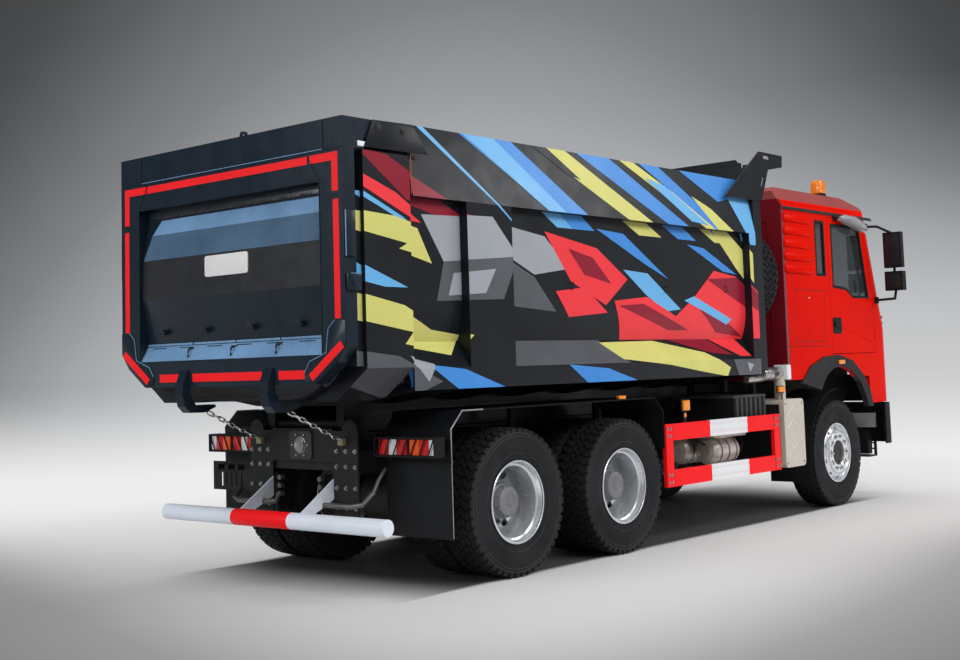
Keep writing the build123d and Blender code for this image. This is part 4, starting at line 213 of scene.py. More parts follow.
class Form:
    """Collects closed solids and becomes one piece of the truck.

    What it is given for the right side is mirrored in y, and the side ends its name.
    """

    def __init__(self, side=None):
        self.bm, self.side = bmesh.new(), SIDES.get(side, 1)
        self.ending = f"_{side}" if side else ""

    def both(self):
        """The form itself once for each side of the truck."""
        for self.side in (1, -1):
            yield self
        self.side = 1

    def solid(self, rings, closed=False):
        """Skin rings of equally many points, with capped ends or closed on themselves; never mirrored."""
        made = [[self.bm.verts.new(point) for point in ring] for ring in rings]
        count = len(made[0])
        for first, second in zip(made, made[1:] + made[:1] if closed else made[1:]):
            for step in range(count):
                after = (step + 1) % count
                self.bm.faces.new((first[step], first[after], second[after], second[step]))
        if not closed:
            self.bm.faces.new(list(reversed(made[0])))
            self.bm.faces.new(made[-1])
        return self

    def box(self, low, high):
        """A box between two corners."""
        (x0, y0, z0), (x1, y1, z1) = low, high
        y0, y1 = sorted((self.side * y0, self.side * y1))
        base = [(x0, y0), (x1, y0), (x1, y1), (x0, y1)]
        return self.solid([[(x, y, z) for x, y in base] for z in (z0, z1)])

    def prism(self, outline, across, low, high):
        """An outline in the other two axes extruded along x or y."""
        if across == "x":
            return self.solid([[(x, self.side * y, z) for y, z in outline] for x in (low, high)])
        return self.solid([[(x, y, z) for x, z in outline] for y in sorted((self.side * low, self.side * high))])

    def tube(self, points, radius, sides=12):
        """A bent bar along points, mitred at each."""
        points = [Vector((x, self.side * y, z)) for x, y, z in points]
        rings = []
        for point, before, after in zip(points, points[:1] + points, points[1:] + points[-1:]):
            turn = (after - before).to_track_quat("Z", "Y")
            rings.append([point + turn @ Vector((a, b, 0)) for a, b in around(sides, radius, 0.5)])
        return self.solid(rings)

    def rod(self, start, end, radius, sides=16):
        """A round bar between two points."""
        return self.tube((start, end), radius, sides)

    def lathe(self, profile, sides=64):
        """A closed profile of (y, radius) turned about the Y axis."""
        return self.solid([[(x, y, z) for x, z in around(sides, radius)] for y, radius in profile], closed=True)

    def piece(self, name, body, slot, material, bevel=0.0, angle=32.0, segments=2):
        """Turn what was collected into an object that rides on a body."""
        name += self.ending
        bmesh.ops.recalc_face_normals(self.bm, faces=self.bm.faces)
        if bevel:
            sharp = [
                edge for edge in self.bm.edges
                if len(edge.link_faces) == 2 and edge.calc_face_angle(0) > radians(angle)
            ]
            bmesh.ops.bevel(self.bm, geom=sharp, offset=bevel, segments=segments, profile=0.6, affect="EDGES")
        mesh = bpy.data.meshes.new(name)
        self.bm.to_mesh(mesh)
        self.bm.free()
        return show(mesh, name, body, slot, material, angle)


def show(mesh, name, body, slot, material, angle=32.0):
    """Make an object of a mesh, smooth up to an angle, and ride it on a body if one is given."""
    mesh.polygons.foreach_set("use_smooth", [True] * len(mesh.polygons))
    mesh.set_sharp_from_angle(angle=radians(angle))
    for entry in material if isinstance(material, (list, tuple)) else [material]:
        mesh.materials.append(M[entry])
    piece = bpy.data.objects.new(name, mesh)
    bpy.context.scene.collection.objects.link(piece)
    if body:
        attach(piece, body)
    return piece


def moved_copy(pattern, name, body, slot, shift, flip_y=False, turn=None):
    """A copy of a pattern made about the origin, turned or mirrored in y if asked, then moved."""
    mesh = pattern.data.copy()
    change = Matrix.Translation(shift) @ (turn or Matrix.Diagonal((1, -1 if flip_y else 1, 1, 1)))
    mesh.transform(change)
    if flip_y:
        mesh.flip_normals()
    copy = bpy.data.objects.new(name, mesh)
    bpy.context.scene.collection.objects.link(copy)
    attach(copy, body)
    return copy


def cut_with(piece, cutters):
    """Subtract a form of closed solids from a piece's mesh."""
    tool_mesh = bpy.data.meshes.new("cutters")
    bmesh.ops.recalc_face_normals(cutters.bm, faces=cutters.bm.faces)
    cutters.bm.to_mesh(tool_mesh)
    cutters.bm.free()
    tool = bpy.data.objects.new("cutters", tool_mesh)
    bpy.context.scene.collection.objects.link(tool)
    change = piece.modifiers.new("holes", "BOOLEAN")
    change.operation = "DIFFERENCE"
    change.object = tool
    change.solver = "EXACT"
    bpy.context.view_layer.update()
    result = bpy.data.meshes.new_from_object(piece.evaluated_get(bpy.context.evaluated_depsgraph_get()))
    piece.modifiers.clear()
    piece.data = result
    bpy.data.objects.remove(tool)


# ---------------------------------------------------------------- tyres
TREAD_BASE_R = 0.527
TREAD_HALF_W = 0.134
TREAD_PITCHES = 48
# one side of the tyre's section from the tread to the bead: half width, radius
TYRE_SIDE = (
    (0.1, TREAD_BASE_R), (0.124, 0.523), (0.139, 0.512), (0.1445, 0.495), (0.1455, 0.478), (0.1475, 0.476),
    (0.1485, 0.455), (0.15, 0.425), (0.1485, 0.385), (0.144, 0.35), (0.143, 0.348), (0.14, 0.33),
    (0.1345, 0.315), (0.127, 0.303), (0.123, 0.296), (0.118, 0.292),
)
# tread blocks: from y, to y, skew of the block in pitches, start in pitches, length in pitches
DRIVE_BLOCKS = (
    (-0.144, -0.088, -0.3, 0.0, 0.74),
    (-0.08, -0.042, 0.38, 0.3, 0.76),
    (-0.036, 0.0, -0.34, 0.05, 0.8),
    (0.006, 0.042, 0.34, 0.55, 0.8),
    (0.048, 0.084, -0.38, 0.2, 0.76),
    (0.09, 0.144, 0.3, 0.5, 0.74),
)
STEER_BLOCKS = (
    (-0.144, -0.094, 0.08, 0.0, 0.86),
    (-0.084, -0.036, 0.16, 0.3, 0.93),
    (-0.026, 0.026, 0.16, 0.1, 0.93),
    (0.036, 0.084, -0.16, 0.6, 0.93),
    (0.094, 0.144, -0.08, 0.4, 0.86),
)
# raised rings on a tyre's sidewall: inner radius, outer radius, how far from the middle they stand
SIDE_RINGS = ((0.4985, 0.503, 0.145), (0.476, 0.48, 0.1482), (0.354, 0.357, 0.1468))
TYRE_STEPS = 112


def tread_top_radius(y):
    """Radius of the tread's crown, a little lower towards the shoulders."""
    return TYRE_R - 0.001 - 0.006 * (abs(y) / TREAD_HALF_W) ** 3


def add_block(form, row, pitch_index):
    """One tread block as a tapered solid that follows the crown."""
    y_low, y_high, skew, start, length = row
    pitch = 2 * pi / TREAD_PITCHES
    centre_y = (y_low + y_high) / 2
    rings = []
    for sunk, shrink in ((0.03, 0.0), (0.0, 0.0022)):
        ring = []
        for y, along in ((y_low, 0), (y_high, 0), (y_high, 1), (y_low, 1)):
            edge = shrink if along == 0 else -shrink
            lean = skew * (y - centre_y) / (y_high - y_low)
            angle = (pitch_index + start + lean + along * length) * pitch + edge / TYRE_R
            across = y + (shrink if y == y_low else -shrink)
            radius = tread_top_radius(across) - sunk
            ring.append((radius * sin(angle), across, radius * cos(angle)))
        rings.append(ring)
    form.solid(rings)


def tyre_form(blocks):
    """A tyre about the origin with its tread blocks."""
    profile = [(-y, radius) for y, radius in reversed(TYRE_SIDE)] + list(TYRE_SIDE)
    form = Form().lathe(profile + [(0.118, 0.2905), (-0.118, 0.2905)], TYRE_STEPS)
    for pitch_index in range(TREAD_PITCHES):
        for row in blocks:
            add_block(form, row, pitch_index)
    return form


def ring_form():
    """The raised rings of both sidewalls about the origin."""
    form = Form()
    for inner_r, outer_r, stand in SIDE_RINGS:
        foot, edge, middle_r = stand - 0.006, stand - 0.001, (inner_r + outer_r) / 2
        section = ((foot, inner_r), (edge, inner_r), (stand, middle_r), (edge, outer_r), (foot, outer_r))
        for side in SIDES.values():
            form.lathe([(side * y, radius) for y, radius in section], TYRE_STEPS)
    return form


def make_tyres():
    """Every tyre with its tread, each in place of its CAD node."""
    rings = ring_form().piece("ring_pattern", "chassis", "tyre", "ring_grey")
    drive = tyre_form(DRIVE_BLOCKS).piece("drive_pattern", "chassis", "tyre", "rubber", angle=40)
    steer = tyre_form(STEER_BLOCKS).piece("steer_pattern", "chassis", "tyre", "rubber", angle=40)
    for _, twin, label, node, body, place, _ in wheels():
        pattern, kind = (drive, label) if twin else (steer, label.replace("front", "steer"))
        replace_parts(moved_copy(pattern, f"tyre_{kind}", body, "tyre", place, flip_y=twin == "inner"), f"tyre{node}")
        moved_copy(rings, f"rings_{label}", body, "tyre", place)
    low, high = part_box("spare_tyre")
    turn = Matrix.Rotation(pi / 2, 4, "Z")
    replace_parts(moved_copy(drive, "tyre_spare", "chassis", "tyre", (low + high) / 2, turn=turn), "spare_tyre")
    for pattern in (drive, steer, rings):
        bpy.data.objects.remove(pattern)


# ---------------------------------------------------------------- rims
RIM_SEAT_R = 0.289
HAND_HOLES = 10
NUTS = 10
NUT_PCD_R = 0.1675
HUB_FACE_R = 0.14
# washer, nut and stud of a wheel nut: from, to, radius, sides
NUT_STACK = ((0.0, 0.01, 0.0225, 16), (0.0, 0.03, 0.0165, 6), (0.028, 0.044, 0.0105, 10))
# sections turned about the axle, as (y, radius): the barrel's outer skin from its outer lip inwards, then the rest
BARREL = (
    (0.138, 0.303), (0.141, 0.3), (0.1405, 0.296), (0.136, 0.2915), (0.125, 0.286), (0.108, 0.281),
    (0.098, 0.276), (0.09, 0.262), (0.06, 0.257), (0.02, 0.255), (-0.05, 0.255), (-0.1, 0.262),
    (-0.112, 0.276), (-0.13, 0.284), (-0.138, 0.296), (-0.141, 0.302),
)
FRONT_DISC = (
    (0.06, 0.257), (0.102, 0.277), (0.106, 0.274), (0.118, 0.258), (0.13, 0.242), (0.137, 0.23),
    (0.138, 0.222), (0.132, 0.216), (0.132, 0.21), (0.148, 0.208), (0.152, 0.203), (0.152, 0.128),
    (0.149, 0.124), (0.118, 0.124), (0.118, 0.2), (0.112, 0.226), (0.096, 0.252), (0.06, 0.25),
)
FRONT_HUB = (
    (-0.11, 0.118), (0.118, 0.126), (0.128, 0.123), (0.132, 0.116), (0.132, 0.104), (0.142, 0.098),
    (0.146, 0.09), (0.146, 0.06), (0.14, 0.054), (0.14, 0.001), (-0.11, 0.001),
)
DISH = (
    (-0.06, 0.256), (-0.074, 0.25), (-0.1, 0.234), (-0.112, 0.22), (-0.122, 0.19), (-0.122, HUB_FACE_R),
    (-0.134, HUB_FACE_R), (-0.134, 0.192), (-0.124, 0.226), (-0.112, 0.24), (-0.086, 0.254),
)
DISH_CAP = (
    (-0.13, 0.139), (-0.085, 0.139), (-0.08, 0.134), (-0.03, 0.128), (-0.022, 0.131), (-0.012, 0.131),
    (-0.006, 0.122), (0.03, 0.116), (0.052, 0.106), (0.06, 0.092), (0.062, 0.058), (0.058, 0.052),
    (0.058, 0.034), (0.064, 0.03), (0.066, 0.001), (-0.13, 0.001),
)
RIM_STEPS = 96


def barrel_form():
    """Closed ring of the barrel, 6 mm thick, about the origin, its outer side at +y."""
    outer = [(y, min(radius + 0.006, RIM_SEAT_R)) for y, radius in reversed(BARREL[2:-2])]
    return Form().lathe(list(BARREL) + outer, RIM_STEPS)


def nut_form(y_face, outward):
    """The ring of wheel nuts with their studs."""
    form = Form()
    for x, z in around(NUTS, NUT_PCD_R):
        for low, high, radius, sides in NUT_STACK:
            form.rod((x, y_face + outward * low, z), (x, y_face + outward * high, z), radius, sides)
    return form


def hand_hole_cutters(radius_mid, y_low, y_high, half_w, half_h):
    """Slotted hand holes round the disc."""
    cutters = Form()
    for east, north in around(HAND_HOLES, 1.0, 0.5):
        spots = [(radius_mid + half_h * out, half_w * aside) for out, aside in around(20, 1.0)]
        cutters.solid([
            [(out * east - aside * north, y, out * north + aside * east) for out, aside in spots]
            for y in (y_low, y_high)
        ])
    return cutters


def make_rims():
    """Front rims with a bulged disc, and twin rims with a deep dish and a hub cap."""
    hub, cap = Form().lathe(FRONT_HUB), Form().lathe(DISH_CAP)
    for lead in (-0.155, 0.155):
        for x, z in around(NUTS, NUT_PCD_R, lead=lead):
            hub.rod((x, 0.149, z), (x, 0.1535, z), 0.0095, 12)
    for x, z in around(8, 0.112, 0.5):
        cap.rod((x, 0.012, z), (x, 0.046, z), 0.009, 6)
    front, twin = (
        [
            (form.piece(f"{part}_pattern", "chassis", slot, material), part, slot)
            for form, part, slot, material in parts
        ]
        for parts in (
            (
                (barrel_form(), "rim", "rim_paint", "rim_silver"),
                (Form().lathe(FRONT_DISC, RIM_STEPS), "disc", "rim_paint", "rim_silver"),
                (nut_form(0.152, 0.6), "nuts", "steel", "chrome"), (hub, "hub", "cast", "cast_dark"),
            ),
            (
                (barrel_form(), "rim", "rim_paint", "rim_silver"),
                (Form().lathe(DISH, RIM_STEPS), "disc", "rim_paint", "disc_grey"),
                (nut_form(-0.122, 1), "nuts", "steel", "hub_grey"), (cap, "cap", "cast", "hub_grey"),
            ),
        )
    )
    cut_with(front[1][0], hand_hole_cutters(0.2505, 0.03, 0.2, 0.022, 0.0125))
    cut_with(twin[1][0], hand_hole_cutters(0.214, -0.2, -0.02, 0.031, 0.024))
    parts_of = {"": front, "outer": twin, "inner": twin[:2]}
    for _, which, label, node, body, place, mirrored in wheels():
        label, _, name = label.rpartition("_")
        for pattern, part, slot in parts_of[which]:
            made = moved_copy(pattern, f"{label}_{part}_{name}", body, slot, place, mirrored)
            if part == "rim" and which != "inner":
                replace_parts(made, f"rim{node}")
    for pattern, _, _ in front + twin:
        bpy.data.objects.remove(pattern)


# ---------------------------------------------------------------- livery
def raked(top_x, top_w, foot_w, run, top_z=3.26, foot_z=2.6):
    """A band that runs forward and down across the top rail, as x, z of its corners."""
    return (top_x, top_z, top_x + top_w, top_z, top_x + run + foot_w, foot_z, top_x + run, foot_z)


# shards of the side: finish, layer, then x, z of each corner
BLACK, SKY, BLUE, YELLOW = "body_black", "livery_sky", "livery_blue", "livery_yellow"
RED, CRIMSON, GREY, SILVER = "livery_red", "livery_crimson", "livery_grey", "livery_silver"
SHARDS = (
    (SKY, 0, *raked(-3.45, 0.07, 0.02, 0.95)),
    (BLUE, 0, *raked(-3.02, 0.6, 0.46, 1.2)),
    (SKY, 1, *raked(-2.98, 0.36, 0.2, 1.12)),
    (YELLOW, 0, *raked(-2.18, 0.42, 0.34, 1.46)),
    (BLACK, 1, -2.22, 3.28, -2.02, 3.28, -1.55, 3.0, -1.72, 3.03),
    (BLUE, 0, *raked(-1.62, 0.46, 0.3, 1.5)),
    (YELLOW, 0, *raked(-1.02, 0.2, 0.3, 1.52)),
    (BLUE, 0, *raked(-0.72, 0.3, 0.16, 1.36)),
    (SKY, 1, -0.6, 3.1, -0.32, 3.06, 0.3, 2.74, 0.02, 2.76),
    (BLUE, 0, -0.1, 3.26, 1.3, 3.26, 1.3, 3.02, 0.78, 3.02, 0.55, 2.98),
    (SKY, 1, 0.72, 3.05, 1.3, 3.12, 1.3, 2.6, 1.02, 2.6),
    (YELLOW, 0, 0.1, 3.0, 0.4, 2.9, 1.06, 2.52, 1.06, 2.24, 0.86, 2.38),
    # rear corner, first recess and pillar
    (CRIMSON, 0, -4.08, 2.99, -3.8, 2.97, -3.02, 2.63, -2.66, 2.56, -3.1, 2.57, -3.62, 2.68),
    (RED, 0, -4.08, 2.84, -3.72, 2.72, -3.4, 2.54, -3.56, 2.55, -4.08, 2.76),
    (SKY, 0, -4.08, 2.73, -3.66, 2.56, -3.5, 2.47, -4.08, 2.69),
    (YELLOW, 0, -4.08, 2.58, -3.74, 2.56, -3.44, 2.5, -3.3, 2.26, -3.52, 2.31, -3.7, 2.34, -3.62, 2.38, -4.08, 2.45),
    (SKY, 0, -4.08, 2.24, -3.62, 2.08, -3.84, 2.08, -4.08, 2.12),
    (YELLOW, 0, -4.08, 2.04, -3.66, 1.96, -3.3, 1.8, -2.96, 1.76, -3.14, 1.62, -3.66, 1.7, -3.58, 1.78, -4.08, 1.86),
    (SILVER, 0, -3.4, 2.6, -2.72, 2.62, -2.44, 2.34, -3.18, 2.28),
    (GREY, 0, -3.18, 2.28, -2.44, 2.34, -2.62, 2.02, -3.26, 2.0),
    (SILVER, 1, -3.08, 2.2, -2.7, 2.24, -2.82, 2.06, -3.14, 2.04),
    # main recess
    (SILVER, 0, -2.5, 2.58, -2.02, 2.52, -1.72, 2.28, -2.16, 2.22, -2.5, 2.36),
    (GREY, 0, -2.5, 2.34, -2.16, 2.2, -1.9, 1.94, -2.5, 1.98),
    (RED, 0, -2.02, 2.56, -1.34, 2.46, -0.92, 2.22, -1.24, 2.0, -1.7, 2.18),
    (CRIMSON, 1, -1.72, 2.44, -1.4, 2.38, -1.16, 2.18, -1.52, 2.24),
    (RED, 0, -1.9, 2.1, -1.52, 2.14, -1.22, 1.94, -1.74, 1.9),
    (BLUE, 0, -1.34, 2.62, -0.96, 2.6, -0.3, 2.24, -0.66, 2.36),
    (SKY, 0, -0.98, 2.3, -0.62, 2.28, -0.12, 1.98, -0.36, 1.96, -0.66, 2.1),
    (RED, 0, -1.12, 2.04, -0.64, 2.08, -0.2, 1.92, 0.12, 2.1, 0.46, 2.34, 0.84, 2.3, 1.12, 2.16, 1.12, 1.72,
        -1.0, 1.72),
    (CRIMSON, 1, -1.06, 2.0, -0.7, 2.02, 0.02, 1.8, -0.3, 1.8),
    (CRIMSON, 1, 0.34, 2.26, 0.86, 2.29, 1.12, 2.14, 1.12, 1.98, 0.72, 2.12),
    (CRIMSON, 1, 0.2, 1.98, 0.6, 1.9, 0.98, 1.74, 0.5, 1.78),
    (SKY, 1, -0.06, 2.06, 0.1, 2.1, 0.74, 1.9, 0.66, 1.85),
    (BLUE, 0, 0.02, 2.56, 0.3, 2.54, 0.86, 2.32, 0.62, 2.34),
    # ledge and skirt
    (GREY, 0, -4.08, 1.66, -3.72, 1.62, -3.3, 1.44, -3.62, 1.34, -4.08, 1.44),
    (SILVER, 1, -3.62, 1.62, -3.36, 1.56, -3.44, 1.44),
    (BLUE, 0, -3.44, 1.56, -3.06, 1.52, -2.56, 1.36, -3.1, 1.36),
    (GREY, 0, -2.5, 1.72, -1.3, 1.72, -1.02, 1.53, -2.5, 1.53),
    (BLUE, 0, -1.86, 1.53, -1.34, 1.49, -0.92, 1.38, -1.62, 1.38),
    (YELLOW, 0, -1.3, 1.7, -0.52, 1.71, 0.2, 1.6, 0.56, 1.46, 0.5, 1.38, 0.02, 1.44, -0.42, 1.5, -1.1, 1.56),
    (CRIMSON, 0, -0.3, 1.72, 0.36, 1.72, 0.66, 1.57, 0.28, 1.6),
    (RED, 0, 0.4, 1.72, 0.86, 1.72, 0.98, 1.56, 0.78, 1.56),
    (GREY, 0, 0.62, 1.53, 1.2, 1.53, 1.2, 1.38, 0.7, 1.38),
    (SILVER, 1, 0.86, 1.5, 0.98, 1.48, 0.9, 1.41),
)
SKIN_LIFT = 0.0009
SHARD_LIFT = 0.00007
SAME_POINT = 1e-5
LOWEST_FACING = 0.12
LEAST_SIDE_Y = 0.8


def clipped(outline, corners):
    """The part of an outline inside a triangle, both as (x, z) points."""
    (x0, z0), (x1, z1), (x2, z2) = corners
    if (x1 - x0) * (z2 - z0) - (x2 - x0) * (z1 - z0) < 0:
        corners = corners[::-1]
    for (x0, z0), (x1, z1) in zip(corners, corners[1:] + corners[:1]):
        depths = [(x1 - x0) * (z - z0) - (z1 - z0) * (x - x0) for x, z in outline]
        kept = []
        for here, after, d_here, d_after in zip(outline, outline[1:] + outline[:1], depths, depths[1:] + depths[:1]):
            if d_here >= 0:
                kept.append(here)
            if (d_here > 0) != (d_after > 0) and abs(d_here - d_after) > 1e-12:
                share = d_here / (d_here - d_after)
                kept.append(tuple(a + share * (b - a) for a, b in zip(here, after)))
        outline = kept
        if len(outline) < 3:
            return []
    return outline


def side_triangles(nodes, side):
    """World triangles of the CAD nodes that face one side and lie well out to it."""
    for node in nodes:
        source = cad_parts[node]
        mesh = source.data
        mesh.calc_loop_triangles()
        for triangle in mesh.loop_triangles:
            points = [source.matrix_world @ mesh.vertices[index].co for index in triangle.vertices]
            normal = (points[1] - points[0]).cross(points[2] - points[0])
            if normal.length < 1e-9 or normal.normalized().y * side < LOWEST_FACING:
                continue
            if min(point.y * side for point in points) >= LEAST_SIDE_Y:
                yield points, normal


def apart(first, second, axis):
    """Whether two sets of (x, z) points don't meet along one axis."""
    first, second = [point[axis] for point in first], [point[axis] for point in second]
    return max(first) < min(second) or min(first) > max(second)


def paint_side(name):
    """Thin painted skins of the shards over one side of the dump body."""
    form, side = bmesh.new(), SIDES[name]
    finishes = sorted({shard[0] for shard in SHARDS})
    cut_shards = []
    for order, (material, layer, *numbers) in enumerate(SHARDS):
        outline = list(zip(numbers[::2], numbers[1::2]))
        lift = side * (SKIN_LIFT + SHARD_LIFT * (order + 30 * layer))
        for trio in tessellate_polygon([[Vector((x, z, 0)) for x, z in outline]]):
            cut_shards.append((finishes.index(material), lift, [outline[index] for index in trio]))
    for points, normal in side_triangles(("body_side_frames", "body_tub"), side):
        base = points[0]
        corners = [(point.x, point.z) for point in points]
        for index, lift, outline in cut_shards:
            if apart(outline, corners, 0) or apart(outline, corners, 1):
                continue
            ring = []
            for x, z in clipped(outline, corners):
                y = base.y - ((x - base.x) * normal.x + (z - base.z) * normal.z) / normal.y
                point = Vector((x, y + lift, z))
                if not ring or (point - ring[-1]).length > SAME_POINT:
                    ring.append(point)
            if len(ring) > 1 and (ring[0] - ring[-1]).length <= SAME_POINT:
                ring.pop()
            if len(ring) < 3:
                continue
            face = form.faces.new([form.verts.new(point) for point in ring])
            face.normal_update()
            if face.calc_area() < 1e-8:
                form.faces.remove(face)
                continue
            if face.normal.y * side < 0:
                face.normal_flip()
            face.material_index = index
    bmesh.ops.remove_doubles(form, verts=form.verts, dist=2 * SAME_POINT)
    mesh = bpy.data.meshes.new(f"livery_{name}")
    form.to_mesh(mesh)
    form.free()
    show(mesh, f"livery_{name}", "dump_body", "body_paint", finishes, 25)


# ---------------------------------------------------------------- tailgate
GATE_X = -4.19
# red tapes on the rear of the gate: corners as (y, z)
GATE_TAPES = (
    [(0.905, 2.905), (0.905, 2.958), (-0.897, 2.958), (-0.897, 2.905)],
    [(-0.92, 2.905), (-0.92, 2.96), (-1.192, 2.96), (-1.192, 2.702), (-1.134, 2.702), (-1.134, 2.905)],
    [(0.92, 2.905), (0.92, 2.96), (1.192, 2.96), (1.192, 2.682), (1.134, 2.682), (1.134, 2.905)],
    [(-1.14, 1.872), (-1.14, 2.648), (-1.194, 2.648), (-1.194, 1.872)],
    [(1.14, 1.866), (1.14, 2.632), (1.194, 2.632), (1.194, 1.866)],
    [(0.765, 1.487), (0.765, 1.545), (0.54, 1.545), (0.54, 1.487)],
    [(0.372, 1.487), (0.372, 1.545), (-0.4, 1.545), (-0.4, 1.487)],
    [(-0.572, 1.487), (-0.572, 1.545), (-0.837, 1.545), (-0.837, 1.487)],
    [(-0.884, 1.514), (-0.921, 1.472), (-1.226, 1.686), (-1.189, 1.728)],
    [(0.884, 1.514), (0.921, 1.472), (1.226, 1.686), (1.189, 1.728)],
)
# raised plate on each lower corner, as (y, z) on the left
CORNER_PLATE = (
    (1.238, 1.86), (1.14, 1.862), (1.077, 1.812), (1.052, 1.655), (0.89, 1.6), (0.838, 1.53), (0.842, 1.462),
    (0.95, 1.456), (1.15, 1.592), (1.238, 1.702),
)
# profile of the panel as (z, x), and its facets: finish, then (y, z) corners; the facets' finishes paint highlight,
# sheen, reflection and shade in bands down the gate
PANEL_X = ((2.78, -4.11), (2.7, -4.11), (2.4, -4.16), (2.1, -4.165), (1.78, -4.12), (1.75, -4.12), (1.64, -4.186))
PANEL_SKINS = (
    ("panel_light", ((-1.008, 2.698), (0.83, 2.698), (0.925, 2.59), (-1.008, 2.59))),
    ("panel_mid", ((-1.008, 2.59), (0.925, 2.59), (0.998, 2.4), (-1.008, 2.4))),
    ("panel_brown", ((-1.008, 2.4), (1.008, 2.4), (1.008, 2.1), (-1.008, 2.1))),
    ("panel_dark", ((-1.008, 2.1), (1.008, 2.1), (1.008, 1.78), (-1.008, 1.78))),
    ("panel_light", ((-1.008, 1.752), (1.008, 1.752), (1.008, 1.642), (-1.008, 1.642))),
)
GATE_HOOK_YS = (-0.521, -0.038, 0.453)


def panel_x(z):
    """Depth of the gate's panel at a height."""
    for (high, x_high), (low, x_low) in zip(PANEL_X, PANEL_X[1:]):
        if low <= z <= high:
            return x_low + (x_high - x_low) * (z - low) / (high - low)
    return PANEL_X[-1][1]


def rounded(low, high, radius, steps=5):
    """Corners of a rounded rectangle between two (a, b) points."""
    points = []
    for centre_a, centre_b, start in (
        (high[0] - radius, high[1] - radius, 0), (low[0] + radius, high[1] - radius, 1),
        (low[0] + radius, low[1] + radius, 2), (high[0] - radius, low[1] + radius, 3),
    ):
        for step in range(steps + 1):
            angle = (start + step / steps) * pi / 2
            points.append((centre_a + radius * cos(angle), centre_b + radius * sin(angle)))
    return points


def gate_piece(form, name, material, bevel=0.0, slot="body_paint"):
    """Put a form on the tailgate."""
    form.piece(f"gate_{name}", "tailgate", slot, material, bevel)


